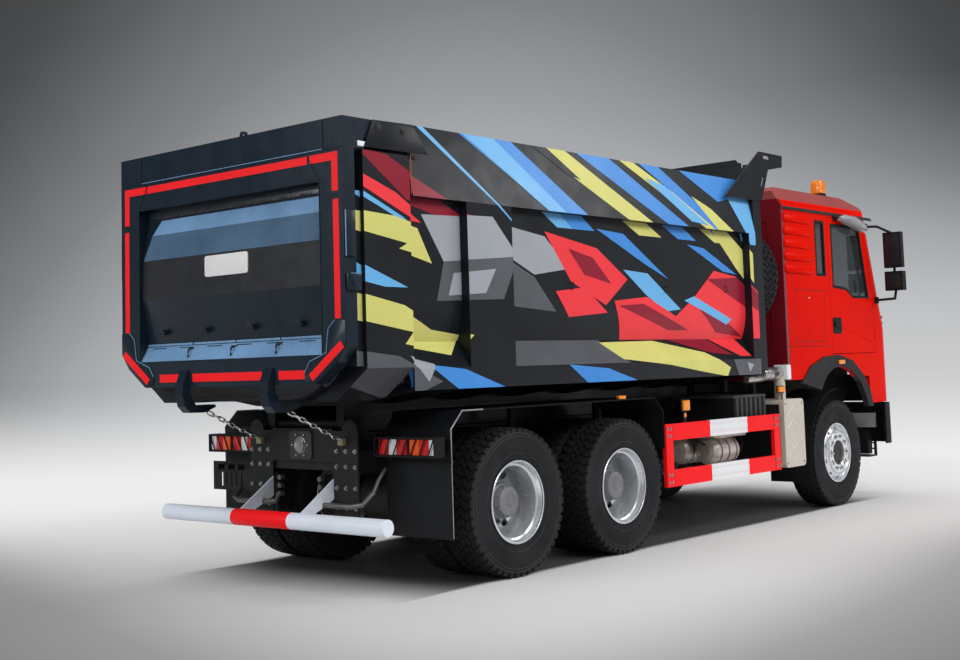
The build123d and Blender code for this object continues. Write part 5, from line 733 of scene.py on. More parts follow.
def make_tailgate_trim():
    """Tapes, corner plates, panel facets of painted highlight and shade, hooks, seams, painted highlight lines and the
    blank plate.
    """
    tapes = Form()
    for outline in GATE_TAPES:
        plate = 0.006 if min(z for _, z in outline) < 1.86 and abs(outline[0][0]) > 0.85 else 0.0
        tapes.prism(outline, "x", GATE_X - plate - 0.0012, GATE_X - plate + 0.0004)
    gate_piece(tapes, "tapes", "tape_red")
    for plates in Form().both():
        plates.prism(CORNER_PLATE, "x", GATE_X - 0.006, GATE_X + 0.001)
    gate_piece(plates, "corner_plates", "gate_blue", 0.0022)
    # bands of painted highlight, sheen, reflection and shade over the panel
    by_finish = {}
    for material, corners in PANEL_SKINS:
        rings = [[(panel_x(z) + lift, y, z) for y, z in corners] for lift in (0.001, -0.0012)]
        by_finish.setdefault(material, Form()).solid(rings)
    for material, form in by_finish.items():
        gate_piece(form, material, material)
    # the seal bar shares the brown finish that also paints reflection on the panel
    bar = Form().box((-4.122, -0.985, 2.712), (-4.109, 0.9, 2.748))
    for step in range(9):
        y = -0.86 + step * 0.21
        bar.box((-4.128, y, 2.716), (-4.12, y + 0.115, 2.73))
    gate_piece(bar, "seal_bar", "panel_brown", 0.0015)
    edge, slots, hooks, seams = Form(), Form(), Form(), Form()
    # a painted highlight along the ledge's edge
    for low_y, high_y in ((-1.0, -0.535), (-0.52, -0.055), (-0.04, 0.435), (0.45, 1.0)):
        edge.box((-4.128, low_y, 1.756), (-4.119, high_y, 1.772))
    gate_piece(edge, "ledge_edge", "panel_light", 0.002)
    ledge_x = panel_x(1.735)
    for step in range(6):
        y = -0.88 + step * 0.33
        slots.box((ledge_x - 0.002, y, 1.728), (ledge_x + 0.004, y + 0.16, 1.742))
    gate_piece(slots, "ledge_slots", "dark_plastic")
    for y in GATE_HOOK_YS:
        hooks.tube([(panel_x(1.728), y, 1.728), (-4.162, y, 1.722), (-4.176, y - 0.012, 1.702),
                    (-4.178, y - 0.014, 1.676), (-4.17, y, 1.662)], 0.0065, 10)
        hooks.box((ledge_x - 0.01, y - 0.03, 1.724), (ledge_x + 0.004, y + 0.03, 1.736))
    for y in (-0.76, -0.26, 0.26, 0.76):
        hooks.tube([(-4.166, y - 0.022, 1.846), (-4.176, y - 0.01, 1.858), (-4.172, y + 0.03, 1.884)], 0.0055, 8)
    gate_piece(hooks, "hooks", "cast_dark", slot="steel")
    for y in (-1.055, 0.972):
        seams.box((GATE_X - 0.0035, y - 0.004, 2.984), (GATE_X + 0.004, y + 0.004, 3.186))
    for _ in seams.both():
        seams.rod((GATE_X - 0.0006, 0.905, 2.955), (GATE_X - 0.0006, 1.01, 2.79), 0.0028, 8)
        seams.box((GATE_X - 0.0012, 1.115, 2.664), (GATE_X + 0.001, 1.195, 2.672))
    seams.rod((GATE_X + 0.0005, -1.235, 2.984), (GATE_X + 0.0005, 1.235, 2.984), 0.0035, 8)
    gate_piece(seams, "seams", "dark_plastic")
    for beads in Form().both():
        beads.tube([(GATE_X - 0.001, 1.0115, 1.645), (GATE_X - 0.001, 1.0115, 2.778)], 0.004, 8)
    beads.tube([(GATE_X - 0.001, -1.012, 1.639), (GATE_X - 0.001, 1.012, 1.639)], 0.004, 8)
    gate_piece(beads, "weld_beads", "gate_blue")
    # painted highlights: light lines along the beam, the corner plates and the latch
    glints = Form().box((GATE_X - 0.003, -1.05, 2.9865), (GATE_X + 0.001, 0.968, 2.9915))
    for _ in glints.both():
        glints.tube([(GATE_X - 0.005, y, z) for y, z in CORNER_PLATE[1:6]], 0.0032, 8)
    glints.box((-4.188, -1.255, 2.27), (-4.184, -1.2485, 2.57))
    glints.box((-4.15, -1.259, 2.158), (-4.06, -1.2485, 2.162))
    gate_piece(glints, "glints", "panel_light")
    latch = Form().box((-4.184, -1.255, 2.27), (-4.1, -1.2485, 2.57))
    latch.box((-4.186, -1.26, 2.05), (-4.06, -1.2485, 2.158))
    latch.rod((-4.12, -1.264, 2.104), (-4.12, -1.2485, 2.104), 0.026, 24)
    gate_piece(latch, "latch", "gate_blue", 0.002)
    plate = Form().prism(rounded((-0.238, 2.233), (0.244, 2.383), 0.02), "x", -4.1695, -4.161)
    gate_piece(plate, "blank_plate", "plate_white", 0.001)
    for buffers in Form().both():
        buffers.box((-4.06, 1.238, 3.0), (-3.985, 1.2502, 3.036))
    gate_piece(buffers, "buffers", "bar_grey", 0.004)


# ---------------------------------------------------------------- guards, exhaust, lamps
GUARD_Y = 1.245
GUARD_RAILS = (0.473, 0.86)
WHITE_X = (0.17, 0.82)
# white skins of a rail: how far in and out of the guard's face, then from and to above the rail's foot
GUARD_SKINS = (
    (-0.002, 0.0012, 0.0, 0.0275), (-0.002, 0.0012, 0.0405, 0.0995), (-0.002, 0.0012, 0.1125, 0.14),
    (-0.004, -0.001, 0.027, 0.041), (-0.004, -0.001, 0.099, 0.113), (-0.034, 0.0012, 0.1395, 0.1412),
    (-0.034, 0.0012, -0.0012, 0.0005),
)


def make_guards(side):
    """White middles, bolts and joint lines of the side guards."""
    white, bolts, joints = Form(side), Form(side), Form(side)
    for rail in GUARD_RAILS:
        for inward, outward, low, high in GUARD_SKINS:
            white.box((WHITE_X[0], GUARD_Y + inward, rail + low), (WHITE_X[1], GUARD_Y + outward, rail + high))
    white.piece("guard_white", "chassis", "guard_paint", "guard_white", 0.0006)
    for x in (-0.515, -0.47, 1.348, 1.402):
        for z in (0.512, 0.574, 0.899, 0.961):
            bolts.rod((x, GUARD_Y - 0.002, z), (x, GUARD_Y + 0.003, z), 0.013, 16)
            bolts.rod((x, GUARD_Y + 0.002, z), (x, GUARD_Y + 0.01, z), 0.009, 6)
    bolts.piece("guard_bolts", "chassis", "steel", "bare_steel")
    for x in (-0.433, 1.32):
        for rail in GUARD_RAILS:
            joints.box((x - 0.002, GUARD_Y - 0.004, rail - 0.0006), (x + 0.002, GUARD_Y + 0.0006, rail + 0.1406))
    joints.piece("guard_joints", "chassis", "guard_paint", "guard_shadow")


CHEVRONS = ((1.076, 0.974), (0.95, 0.861), (0.669, 0.771), (0.538, 0.645))
PIPE_Y, PIPE_Z = -1.14, 1.38


def along_x(form, y, z, rows, sides):
    """Round bars along x, each from x, to x and radius."""
    for start, end, radius in rows:
        form.rod((start, y, z), (end, y, z), radius, sides)
    return form


def make_exhaust_trim():
    """Pipe sleeve, clamp, chevron inlays, a dark sheet of painted shade on the box's rear face, and the small parts
    round the exhaust box.
    """
    pipe = along_x(Form(), PIPE_Y, PIPE_Z, ((1.296, 1.7, 0.0612),), 40)
    pipe.rod((1.02, PIPE_Y, 1.338), (1.3, PIPE_Y, 1.34), 0.033, 28)
    along_x(pipe, PIPE_Y, PIPE_Z, ((1.33, 1.34, 0.0645), (1.395, 1.405, 0.0645)), 40)
    pipe.piece("exhaust_pipe_sleeve", "chassis", "steel", "pipe_silver", 0.0012)
    clamp = along_x(Form(), PIPE_Y, PIPE_Z, ((1.48, 1.516, 0.066),), 40)
    clamp.box((1.486, -1.232, 1.372), (1.51, -1.198, 1.388))
    clamp.rod((1.498, -1.222, 1.352), (1.498, -1.222, 1.408), 0.006, 10)
    clamp.piece("exhaust_clamp", "chassis", "steel", "dull_steel", 0.0015)
    # painted shade: a dark sheet over the exhaust box's rear face
    cover = Form().box((1.527, -1.195, 0.525), (1.532, -0.705, 1.085))
    cover.piece("exhaust_rear_painted_shade", "chassis", "trim", "dark_plastic", 0.0015)
    block = Form().box((1.65, -1.238, 1.318), (1.731, -1.085, 1.463))
    block.piece("exhaust_end_block", "chassis", "exhaust_metal", "guard_white", 0.014, segments=4)
    inlays, bolts = Form(), Form()
    for tip_z, end_z in CHEVRONS:
        top = [(1.592, end_z), (1.73, tip_z), (1.868, end_z)]
        inlays.prism(top + [(x, z - 0.013) for x, z in reversed(top)], "y", -1.2415, -1.2385)
    inlays.piece("exhaust_chevrons", "chassis", "exhaust_metal", "beige_light")
    for x in (1.565, 1.895):
        for z in (0.52, 1.088):
            bolts.rod((x, -1.2445, z), (x, -1.2495, z), 0.008, 12)
    bolts.piece("exhaust_bolts", "chassis", "steel", "dull_steel")


# along each side: brackets and lenses of the marker lamps, as low and high corners
MARKER_BRACKETS = (
    ((-0.215, 1.213, 0.998), (-0.165, 1.219, 1.2)), ((-0.25, 1.215, 1.092), (-0.13, 1.223, 1.2)),
    ((-1.2, 1.205, 1.23), (-1.09, 1.238, 1.24)), ((1.56, 1.206, 1.128), (1.575, 1.214, 1.21)),
    ((1.47, 1.203, 1.192), (1.61, 1.212, 1.264)),
)
MARKER_LENSES = (
    ((-0.24, 1.221, 1.104), (-0.14, 1.242, 1.19)), ((-0.206, 1.217, 1.045), (-0.174, 1.224, 1.08)),
    ((-1.19, 1.208, 1.239), (-1.1, 1.24, 1.265)), ((1.48, 1.21, 1.202), (1.6, 1.234, 1.256)),
)


def make_chassis_trim():
    """Battery box ribs, tank bands, a blank label and hoses along the chassis, and painted highlights along the
    mudguards' edges.
    """
    ribs, bands, bellows = Form(), Form(), Form()
    for step in range(7):
        ribs.box((0.79 + 0.085 * step, -1.1575, 0.96), (0.825 + 0.085 * step, -1.149, 1.17))
    ribs.box((0.755, -1.156, 1.172), (1.345, -0.555, 1.1935))
    ribs.piece("battery_box_ribs", "chassis", "trim", "grey_plastic", 0.003)
    cover = Form().box((0.757, -1.152, 0.952), (1.343, -0.558, 1.1915))
    cover.piece("battery_box_cover", "chassis", "trim", "dark_plastic", 0.0015)
    # painted highlights: light grey lines along each mudguard's edge
    for side in SIDES:
        edges = Form(side).tube([(-3.222, 1.24, 0.87), (-3.222, 1.24, 1.11), (-3.101, 1.24, 1.2315),
                                 (-2.88, 1.24, 1.2315)], 0.0055, 10)
        edges.tube([(-3.2225, 1.2405, 0.36), (-3.2225, 1.2405, 0.872)], 0.0028, 8)
        edges.piece("mudguard_edge_highlights", "chassis", "chassis_paint", "mirror_grey")
    for y in (-1.0, -0.7):
        along_x(bands, y, 0.7, [(x - 0.012, x + 0.012, 0.1275) for x in (0.56, 0.69, 0.82)], 40)
    bands.piece("air_tank_bands", "chassis", "steel", "dull_steel", 0.001)
    folds = [(0.93 + step * 0.014, 0.052 if step % 2 else 0.044) for step in range(9)]
    along_x(bellows, -1.0, 0.7, [(x, x + 0.008, radius) for x, radius in folds] + [(0.915, 1.07, 0.036)], 24)
    bellows.piece("air_tank_bellows", "chassis", "trim", "dark_plastic", 0.001)
    hoses = Form()
    hoses.tube([(1.06, -1.0, 0.7), (1.11, -1.0, 0.705), (1.15, -0.99, 0.74), (1.165, -0.96, 0.8),
                (1.165, -0.9, 0.86), (1.16, -0.8, 0.9), (1.15, -0.66, 0.92), (1.15, -0.43, 0.93)], 0.018, 14)
    hoses.tube([(0.47, -1.0, 0.76), (0.43, -0.99, 0.78), (0.4, -0.95, 0.82), (0.38, -0.86, 0.86),
                (0.37, -0.7, 0.89), (0.36, -0.43, 0.9)], 0.01, 12)
    hoses.piece("air_hoses", "chassis", "trim", "rubber")
    label = Form().box((0.462, -1.121, 0.828), (0.525, -1.1194, 0.862))
    label.piece("blank_label", "chassis", "trim", "label_yellow")


def make_markers(side):
    """Marker lamps along the chassis."""
    bracket, lens = Form(side), Form(side)
    for low, high in MARKER_BRACKETS:
        bracket.box(low, high)
    if side == "left":
        bracket.box((1.34, 0.56, 1.12), (1.575, 1.214, 1.132))
    for low, high in MARKER_LENSES:
        lens.box(low, high)
    bracket.piece("marker_brackets", "chassis", "chassis_paint", "dark_plastic", 0.001)
    lens.piece("marker_lenses", "chassis", "amber", "amber", 0.004, segments=3)


# lenses of a tail lamp from its outer end: finish, width, how far it stands out
TAIL_LENSES = (
    ("lens_clear", 0.062, 0.013), ("lens_red", 0.088, 0.015), ("lens_orange", 0.092, 0.017),
    ("dark_plastic", 0.03, 0.006), ("lens_red", 0.1, 0.015), ("lens_clear", 0.078, 0.013),
    ("lens_red", 0.098, 0.015),
)
TAIL_LAMP_X = -3.36


def make_tail_lenses(side):
    """Coloured lenses in the tail lamps."""
    forms = {}
    edge = 1.226
    for material, width, proud in TAIL_LENSES:
        form = forms.setdefault(material, Form(side))
        form.box((TAIL_LAMP_X - proud, edge - width + 0.003, 0.936), (TAIL_LAMP_X + 0.002, edge, 1.044))
        edge -= width
    for material, form in forms.items():
        slot = "trim" if material == "dark_plastic" else "lamp"
        form.piece(f"tail_{material}", "chassis", slot, material, 0.0045, segments=3)


# ---------------------------------------------------------------- rear of the chassis
PLATE_X = -3.494
BAR_X, BAR_Z = -3.818, 0.494


def make_rear():
    """Bolts, sockets, links and the red middle of the bar at the rear end."""
    bolts, socket = Form(), Form()
    for y in (0.375, 0.47, 0.565, -0.375, -0.47, -0.565):
        for z in (0.56, 0.7, 0.85, 0.96):
            along_x(bolts, y, z, ((PLATE_X + 0.002, PLATE_X - 0.004, 0.017),), 16)
            along_x(bolts, y, z, ((PLATE_X - 0.003, PLATE_X - 0.016, 0.012),), 6)
    bolts.piece("rear_bolts", "chassis", "steel", "bare_steel")
    coupling = Form().prism(rounded((-0.12, 0.895), (0.12, 1.105), 0.03), "x", PLATE_X - 0.016, PLATE_X + 0.001)
    coupling.piece("coupling_plate", "chassis", "cast", "cast_dark", 0.004)
    along_x(socket, 0.0, 1.0, ((PLATE_X, PLATE_X - 0.018, 0.062), (PLATE_X, PLATE_X - 0.03, 0.052)), 40)
    for y, z in around(6, 0.085):
        along_x(socket, y, 1.0 + z, ((PLATE_X - 0.014, PLATE_X - 0.024, 0.01),), 6)
    socket.piece("coupling_socket", "chassis", "steel", "bare_steel", 0.002)
    red = Form().rod((BAR_X, 0.368, BAR_Z), (BAR_X, -0.25, BAR_Z), 0.06, 56)
    red.piece("underride_red", "chassis", "guard_paint", "guard_red", 0.0006)
    for caps in Form().both():
        caps.rod((BAR_X, 1.196, BAR_Z), (BAR_X, 1.204, BAR_Z), 0.054, 48)
        for x, z in ((-3.56, 0.68), (-3.64, 0.61), (-3.715, 0.552)):
            caps.rod((x, 0.3385, z), (x, 0.3415, z), 0.013, 20)
    caps.piece("underride_caps", "chassis", "guard_paint", "bar_grey", 0.001)
    for links in Form().both():
        links.tube([(-3.535, 0.22, 0.64), (-3.56, 0.22, 0.59), (-3.59, 0.3, 0.585), (-3.59, 0.62, 0.585),
                    (-3.56, 0.7, 0.6), (-3.47, 0.72, 0.68)], 0.02, 16)
        links.tube([(-3.47, 0.72, 0.68), (-3.42, 0.72, 0.76), (-3.33, 0.7, 0.83)], 0.014, 12)
        for z in (0.64, 0.7, 0.76):
            links.rod((PLATE_X, 0.22, z), (-3.53, 0.22, z), 0.02, 16)
    links.piece("rear_links", "chassis", "cast", "dull_steel")


CHAIN_YS = (-0.45, 0.45)
CHAIN_LOW = Vector((-3.5, 0.0, 1.03))
CHAIN_TOP = Vector((-3.9, 0.0, 1.215))
CHAIN_PITCH = (CHAIN_TOP - CHAIN_LOW).length / 8
CHAIN_LINKS = 10
CHAIN_WIRE_R = 0.0055
CHAIN_BEND_R = 0.013


def add_link(form, centre, along, across):
    """One oval link of round wire."""
    normal = along.cross(across)
    half_straight = (CHAIN_PITCH - 2 * CHAIN_BEND_R) / 2 + CHAIN_WIRE_R
    rings = []
    for end in (1, -1):
        for step in range(9):
            angle = radians(-90 + 22.5 * step)
            out = (along * cos(angle) + across * sin(angle)) * end
            middle = centre + along * (half_straight * end) + out * CHAIN_BEND_R
            rings.append([middle + (out * a + normal * b) * CHAIN_WIRE_R for a, b in around(10, 1.0)])
    form.solid(rings, closed=True)


def make_chains():
    """Two link chains from the frame's rear plate up to the dump body."""
    along = (CHAIN_TOP - CHAIN_LOW).normalized()
    level = Vector((0, 1, 0))
    form, anchors = Form(), Form()
    for y in CHAIN_YS:
        for link in range(CHAIN_LINKS):
            centre = CHAIN_LOW + along * (CHAIN_PITCH * (link + 0.5)) + level * y
            add_link(form, centre, along, (level, along.cross(level))[link % 2])
        anchors.box((-3.532, y - 0.026, 1.004), (-3.486, y + 0.026, 1.054))
    chains = form.piece("link_chains", None, "chain", "chrome")
    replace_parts(chains, "chains")
    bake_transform(chains)
    anchors.piece("chain_anchors", "chassis", "steel", "label_brass", 0.004)


# ---------------------------------------------------------------- body trim
def make_body_trim():
    """Hinge brackets, pins, small hooks and corner marks on the dump body."""
    outline = [(-4.009, 2.999), (-3.923, 3.19), (-3.539, 3.199), (-3.395, 3.004)]
    for brackets in Form().both():
        brackets.prism(outline, "y", 1.2485, 1.256)
    brackets.piece("gate_hinge_brackets", "dump_body", "body_paint", "body_black", 0.003)
    for pins in Form().both():
        for x, z in ((-3.878, 3.144), (-3.637, 3.143)):
            pins.rod((x, 1.254, z), (x, 1.262, z), 0.026, 28)
            pins.rod((x, 1.26, z), (x, 1.268, z), 0.014, 6)
        for x, z in ((-0.35, 2.15), (0.64, 2.18), (-1.7, 2.15)):
            pins.tube([(x, 1.172, z + 0.02), (x, 1.2, z + 0.02), (x, 1.206, z - 0.02), (x, 1.176, z - 0.03)], 0.006, 10)
    pins.piece("gate_hinge_pins", "dump_body", "steel", "cast_dark", 0.0008)
    for marks in Form().both():
        marks.box((-3.568, 1.2495, 2.72), (-3.562, 1.2515, 2.99))
    marks.piece("corner_marks", "dump_body", "body_paint", "marker_orange")


# ---------------------------------------------------------------- cab
CAB_Y = 1.2
ROOF_FOOT_Z = 3.035
ROOF_SLOPE = (1.2 - 1.085) / (3.235 - ROOF_FOOT_Z)
DOOR_WINDOW = ((2.8, 2.25), (3.1, 2.23), (3.25, 2.15), (3.64, 2.15), (3.47, 2.915), (2.8, 2.915))
QUARTER_WINDOW = ((2.44, 2.36), (2.65, 2.36), (2.65, 2.93), (2.44, 2.93))
LOCKER = ((1.918, 1.686), (2.56, 1.686), (2.6, 2.205), (1.935, 2.205))


def grown(outline, amount):
    """An outline of (a, b) points grown outwards by amount with mitred corners."""
    outline = [Vector(point) for point in outline]
    area = sum(p.x * q.y - q.x * p.y for p, q in zip(outline, outline[1:] + outline[:1])) / 2
    turn = 1 if area > 0 else -1
    points = []
    for before, here, after in zip(outline[-1:] + outline, outline, outline[1:] + outline[:1]):
        first, second = (here - before).normalized(), (after - here).normalized()
        out_first = Vector((first.y, -first.x)) * turn
        mitre = (out_first + Vector((second.y, -second.x)) * turn).normalized()
        points.append(tuple(here + mitre * (amount / max(mitre.dot(out_first), 0.3))))
    return points


def band(form, outline, inner, outer, y_low, y_high):
    """A flat frame that follows an outline on the cab's side."""
    inside, outside = grown(outline, inner), grown(outline, outer)
    count = len(outline)
    for step in range(count):
        after = (step + 1) % count
        form.prism([inside[step], inside[after], outside[after], outside[step]], "y", y_low, y_high)
    return form


def side_bead(form, points, radius, sides=10):
    """A half-sunk bead along (x, z) points on the cab's side."""
    return form.tube([(x, CAB_Y - 0.35 * radius, z) for x, z in points], radius, sides)


def make_cab_sides(side):
    """Gutter, seals, seams, creases and handles on one side of the cab."""
    gutter = Form(side).box((1.7405, 1.199, 3.002), (3.7845, 1.2135, 3.0235))
    gutter.box((1.7405, 1.1985, 3.0235), (3.7845, 1.205, 3.035))
    gutter.piece("cab_gutter", "cab", "trim", "gutter_black", 0.002)
    creases = Form(side)
    for z in (3.066, 3.086):
        y = CAB_Y - (z - ROOF_FOOT_Z) * ROOF_SLOPE
        creases.tube([(1.785, y, z), (3.3, y, z), (3.56, y - 0.004, z - 0.006)], 0.0045, 10)
    side_bead(creases, ((1.748, 1.65), (2.7, 1.64)), 0.004)
    creases.piece("cab_creases", "cab", "cab_paint", "cab_red")
    seal = band(Form(side), QUARTER_WINDOW, -0.024, 0.004, 1.186, 1.2022)
    seal.piece("quarter_seal", "cab", "trim", "dark_plastic", 0.002)
    lines = band(Form(side), LOCKER, -0.0035, 0.0035, 1.199, 1.2008)
    lines.box((1.742, 1.199, 1.634), (2.712, 1.2008, 1.64))
    lines.box((1.799, 1.199, 1.33), (1.803, 1.2008, 3.0))
    lines.piece("cab_seams", "cab", "trim", "seam_dark")
    lock = Form(side).rod((2.25, 1.199, 2.13), (2.25, 1.2035, 2.13), 0.012, 20)
    lock.piece("locker_lock", "cab", "steel", "chrome", 0.001)
    body = f"door_{side}"
    seal = band(Form(side), DOOR_WINDOW, -0.022, 0.006, 1.186, 1.2026)
    seal.piece("door_seal", body, "trim", "dark_plastic", 0.002)
    lines = side_bead(Form(side), ((2.74, 2.044), (3.3, 2.034), (3.73, 2.016)), 0.0065)
    side_bead(lines, ((2.97, 1.842), (3.021, 1.807), (3.2, 1.78), (3.392, 1.748), (3.6, 1.69),
                      (3.725, 1.636)), 0.0065)
    lines.piece("door_creases", body, "cab_paint", "cab_red")
    plate = Form(side).prism(rounded((2.752, 1.764), (2.952, 1.934), 0.026), "y", 1.1985, 1.2045)
    plate.piece("door_handle_plate", body, "trim", "dark_plastic", 0.003)
    grip = Form(side).box((2.77, 1.212, 1.842), (2.905, 1.228, 1.878))
    grip.box((2.77, 1.202, 1.846), (2.792, 1.214, 1.874)).box((2.883, 1.202, 1.846), (2.905, 1.214, 1.874))
    grip.rod((2.925, 1.204, 1.805), (2.925, 1.2085, 1.805), 0.011, 20)
    grip.piece("door_handle", body, "trim", "dark_plastic", 0.004, segments=3)
    posts = Form(side).box((3.56, 1.15, 2.16), (3.574, 1.172, 2.42))
    posts.box((3.38, 1.15, 2.15), (3.41, 1.17, 2.34))
    posts.piece("door_inner_posts", body, "trim", "grey_plastic", 0.004)


# sections of the kerb mirror's shell: x, z, half height, y of the middle, half width
KERB_SECTIONS = (
    (2.905, 2.966, 0.02, -1.268, 0.03), (2.96, 2.968, 0.044, -1.285, 0.062), (3.12, 2.948, 0.058, -1.3, 0.078),
    (3.3, 2.905, 0.054, -1.3, 0.074), (3.43, 2.872, 0.032, -1.29, 0.046),
)


def make_kerb_mirror():
    """The mirror above the right door that looks down at the kerb."""
    shell = Form().solid([
        [(x, y_mid + half_w * a, z + half_h * b) for a, b in around(20, 1.0)]
        for x, z, half_h, y_mid, half_w in KERB_SECTIONS
    ])
    shell.piece("kerb_mirror_shell", "door_right", "trim", "mirror_grey", 0.003)
    arm = Form().tube([(2.9, -1.196, 2.975), (2.905, -1.23, 2.985), (2.93, -1.268, 2.975)], 0.014, 12)
    arm.box((2.86, -1.2085, 2.952), (2.95, -1.1975, 2.996))
    arm.piece("kerb_mirror_arm", "door_right", "trim", "dark_plastic")


# section of a louvre rib as (how proud, rise), and its scale along x
RIB_SECTION = ((0.0, 0.104), (0.01, 0.086), (0.019, 0.046), (0.022, 0.02), (0.016, 0.005), (0.0, 0.0))
RIB_STATIONS = ((1.779, 0.55), (1.8, 1.0), (2.285, 1.0), (2.322, 0.9), (2.344, 0.68), (2.357, 0.3))
RIB_LOW_Z, RIB_PITCH, RIB_H = 2.364, 0.128, 0.104


def make_cab_ribs(side):
    """Pressed louvre ribs of the rear quarter, full at the foot of each."""
    ribs = Form(side)
    for row in range(5):
        middle = RIB_LOW_Z + row * RIB_PITCH + RIB_H / 2
        ribs.solid([
            [
                (x, ribs.side * (CAB_Y - 0.001 + proud * scale), middle + (rise - RIB_H / 2) * scale)
                for proud, rise in RIB_SECTION
            ]
            for x, scale in RIB_STATIONS
        ])
    ribs.piece("cab_ribs", "cab", "cab_paint", "cab_red", angle=50)


WELL_OUTLINE = (
    (2.3, 1.1), (2.31, 1.25), (2.4, 1.4), (2.56, 1.54), (2.8, 1.6), (4.03, 1.6), (4.03, 1.12),
    (3.9, 1.02), (3.25, 1.02), (2.95, 1.1),
)


def make_wheel_wells(side):
    """Inner wall of a front wheel well."""
    wall = Form(side).prism(WELL_OUTLINE, "y", 0.712, 0.722)
    wall.piece("wheel_well", "cab", "trim", "dark_plastic", 0.001)


BEACON_AT = (2.95, -1.015)


def beacon_ring(half_w, z):
    """A rounded square about the beacon's middle."""
    outline = rounded((-half_w, -half_w), (half_w, half_w), half_w * 0.45)
    return [(BEACON_AT[0] + a, BEACON_AT[1] + b, z) for a, b in outline]


def make_beacon():
    """Amber lens on its black base."""
    sections = ((3.262, 0.066), (3.272, 0.07), (3.372, 0.06), (3.394, 0.055), (3.402, 0.044))
    lens = Form().solid([beacon_ring(half_w, z) for z, half_w in sections])
    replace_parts(lens.piece("beacon_lens", "cab", "amber", "amber"), "beacon")
    grooves = Form()
    for step in range(5):
        z = 3.29 + 0.018 * step
        half_w = 0.0705 - 0.1 * (z - 3.272)
        grooves.solid([beacon_ring(half_w, level) for level in (z, z + 0.005)])
    grooves.piece("beacon_ribs", "cab", "amber", "lens_orange")
    base = Form().rod((*BEACON_AT, 3.2353), (*BEACON_AT, 3.256), 0.078, 40)
    base.rod((*BEACON_AT, 3.253), (*BEACON_AT, 3.264), 0.07, 40)
    base.piece("beacon_base", "cab", "trim", "dark_plastic", 0.003)


CORNER_X, CORNER_Y, CORNER_R = 3.91, 0.96, 0.2425
# section of a corner slat: out from the corner's curve along x and y, then up from its foot
SLAT_SECTION = ((0.0, 0.0, 0.0), (0.004, 0.004, 0.006), (0.002, 0.002, 0.03), (-0.01, -0.008, 0.034))


def make_cab_corners(side):
    """Corner louvres in a dark red of painted shade, mirror faces, steps, step brackets and arch lamps at the cab's
    front.
    """
    slats = Form(side)
    for row in range(7):
        foot = 1.56 + 0.062 * row
        rings = []
        for angle in (radians(38), radians(52), radians(66), radians(80)):
            x, y = CORNER_X + CORNER_R * sin(angle), CORNER_Y + CORNER_R * cos(angle)
            rings.append([(x + out_x, slats.side * (y + out_y), foot + rise) for out_x, out_y, rise in SLAT_SECTION])
        slats.solid(rings)
    # the slats' dark red paints the shade in the grooves between them
    slats.piece("corner_louvres", "cab", "trim", "louvre_red")
    faces = Form(side)
    for z_low, z_high in ((2.505, 2.845), (2.255, 2.415)):
        faces.prism(rounded((1.318, z_low), (1.482, z_high), 0.024), "x", 3.8555, 3.86)
    faces.piece("mirror_faces", "cab", "glass", "mirror_face", 0.001)
    repeater = Form(side).prism(rounded((3.885, 2.64), (3.925, 2.73), 0.012), "y", 1.2985, 1.3005)
    repeater.piece("mirror_repeater", "cab", "amber", "amber", 0.0006)
    profile = ((4.18, 0.73), (4.222, 0.77), (4.228, 0.84), (4.228, 0.9), (4.222, 0.935), (4.18, 0.95))
    tube = Form(side).tube([(x, 1.07, z) for x, z in profile], 0.017, 16)
    tube.piece("corner_guard_tube", "chassis", "steel", "chrome")
    treads = Form(side).box((4.04, 0.702, 0.4125), (4.236, 0.928, 0.4165))
    for z in (0.48, 0.545):
        treads.rod((4.228, 0.705, z), (4.228, 0.925, z), 0.009, 12)
    treads.piece("step_treads", "chassis", "steel", "dull_steel", 0.001)
    bracket = Form(side).prism([(4.05, 0.7), (4.19, 0.7), (4.17, 0.43), (4.08, 0.43)], "y", 0.735, 0.905)
    bracket.piece("step_bracket", "chassis", "trim", "dark_plastic", 0.006)
    base = Form(side).box((2.79, 1.206, 1.44), (2.94, 1.2185, 1.5))
    base.piece("arch_lamp_base", "cab", "trim", "dark_plastic", 0.002)
    lamp = Form(side).box((2.8, 1.214, 1.448), (2.93, 1.231, 1.492))
    lamp.piece("arch_lamp", "cab", "amber", "amber", 0.006, segments=3)


def make_cab_front():
    """Wipers, a badge left blank and the head lamps' eyes."""
    wipers = Form()
    for y in (-0.55, 0.1, 0.7):
        wipers.tube([(4.073, y, 2.098), (4.066, y + 0.05, 2.18), (4.028, y + 0.22, 2.3), (3.985, y + 0.3, 2.45)],
                    0.008, 10)
        wipers.tube([(4.036, y + 0.02, 2.27), (3.99, y + 0.3, 2.425), (3.945, y + 0.46, 2.57)], 0.006, 8)
    wipers.piece("wipers", "cab", "trim", "dark_plastic")
    badge = Form().prism(rounded((-0.13, 1.9), (0.13, 2.01), 0.03), "x", 4.12, 4.146)
    badge.piece("front_blank_badge", "cab", "steel", "chrome", 0.004)
    for lamps in Form().both():
        for y in (0.7, 0.855):
            lamps.rod((4.24, y, 0.8), (4.2475, y, 0.8), 0.058, 32)
    lamps.piece("head_lamp_eyes", "chassis", "glass", "chrome", 0.002)


# ---------------------------------------------------------------- floor, light, camera
CAMERA_AT = (-10.015, -7.437, 1.535)
CAMERA_YAW = radians(40.892)
CAMERA_PITCH = radians(4.835)
CAMERA_ROLL = radians(-1.729)
FOCAL_PIXELS = 1319.98
IMAGE_W = 960
IMAGE_H = 660
PRINCIPAL_ROW = 254.8
FLOOR_REACH = 600.0


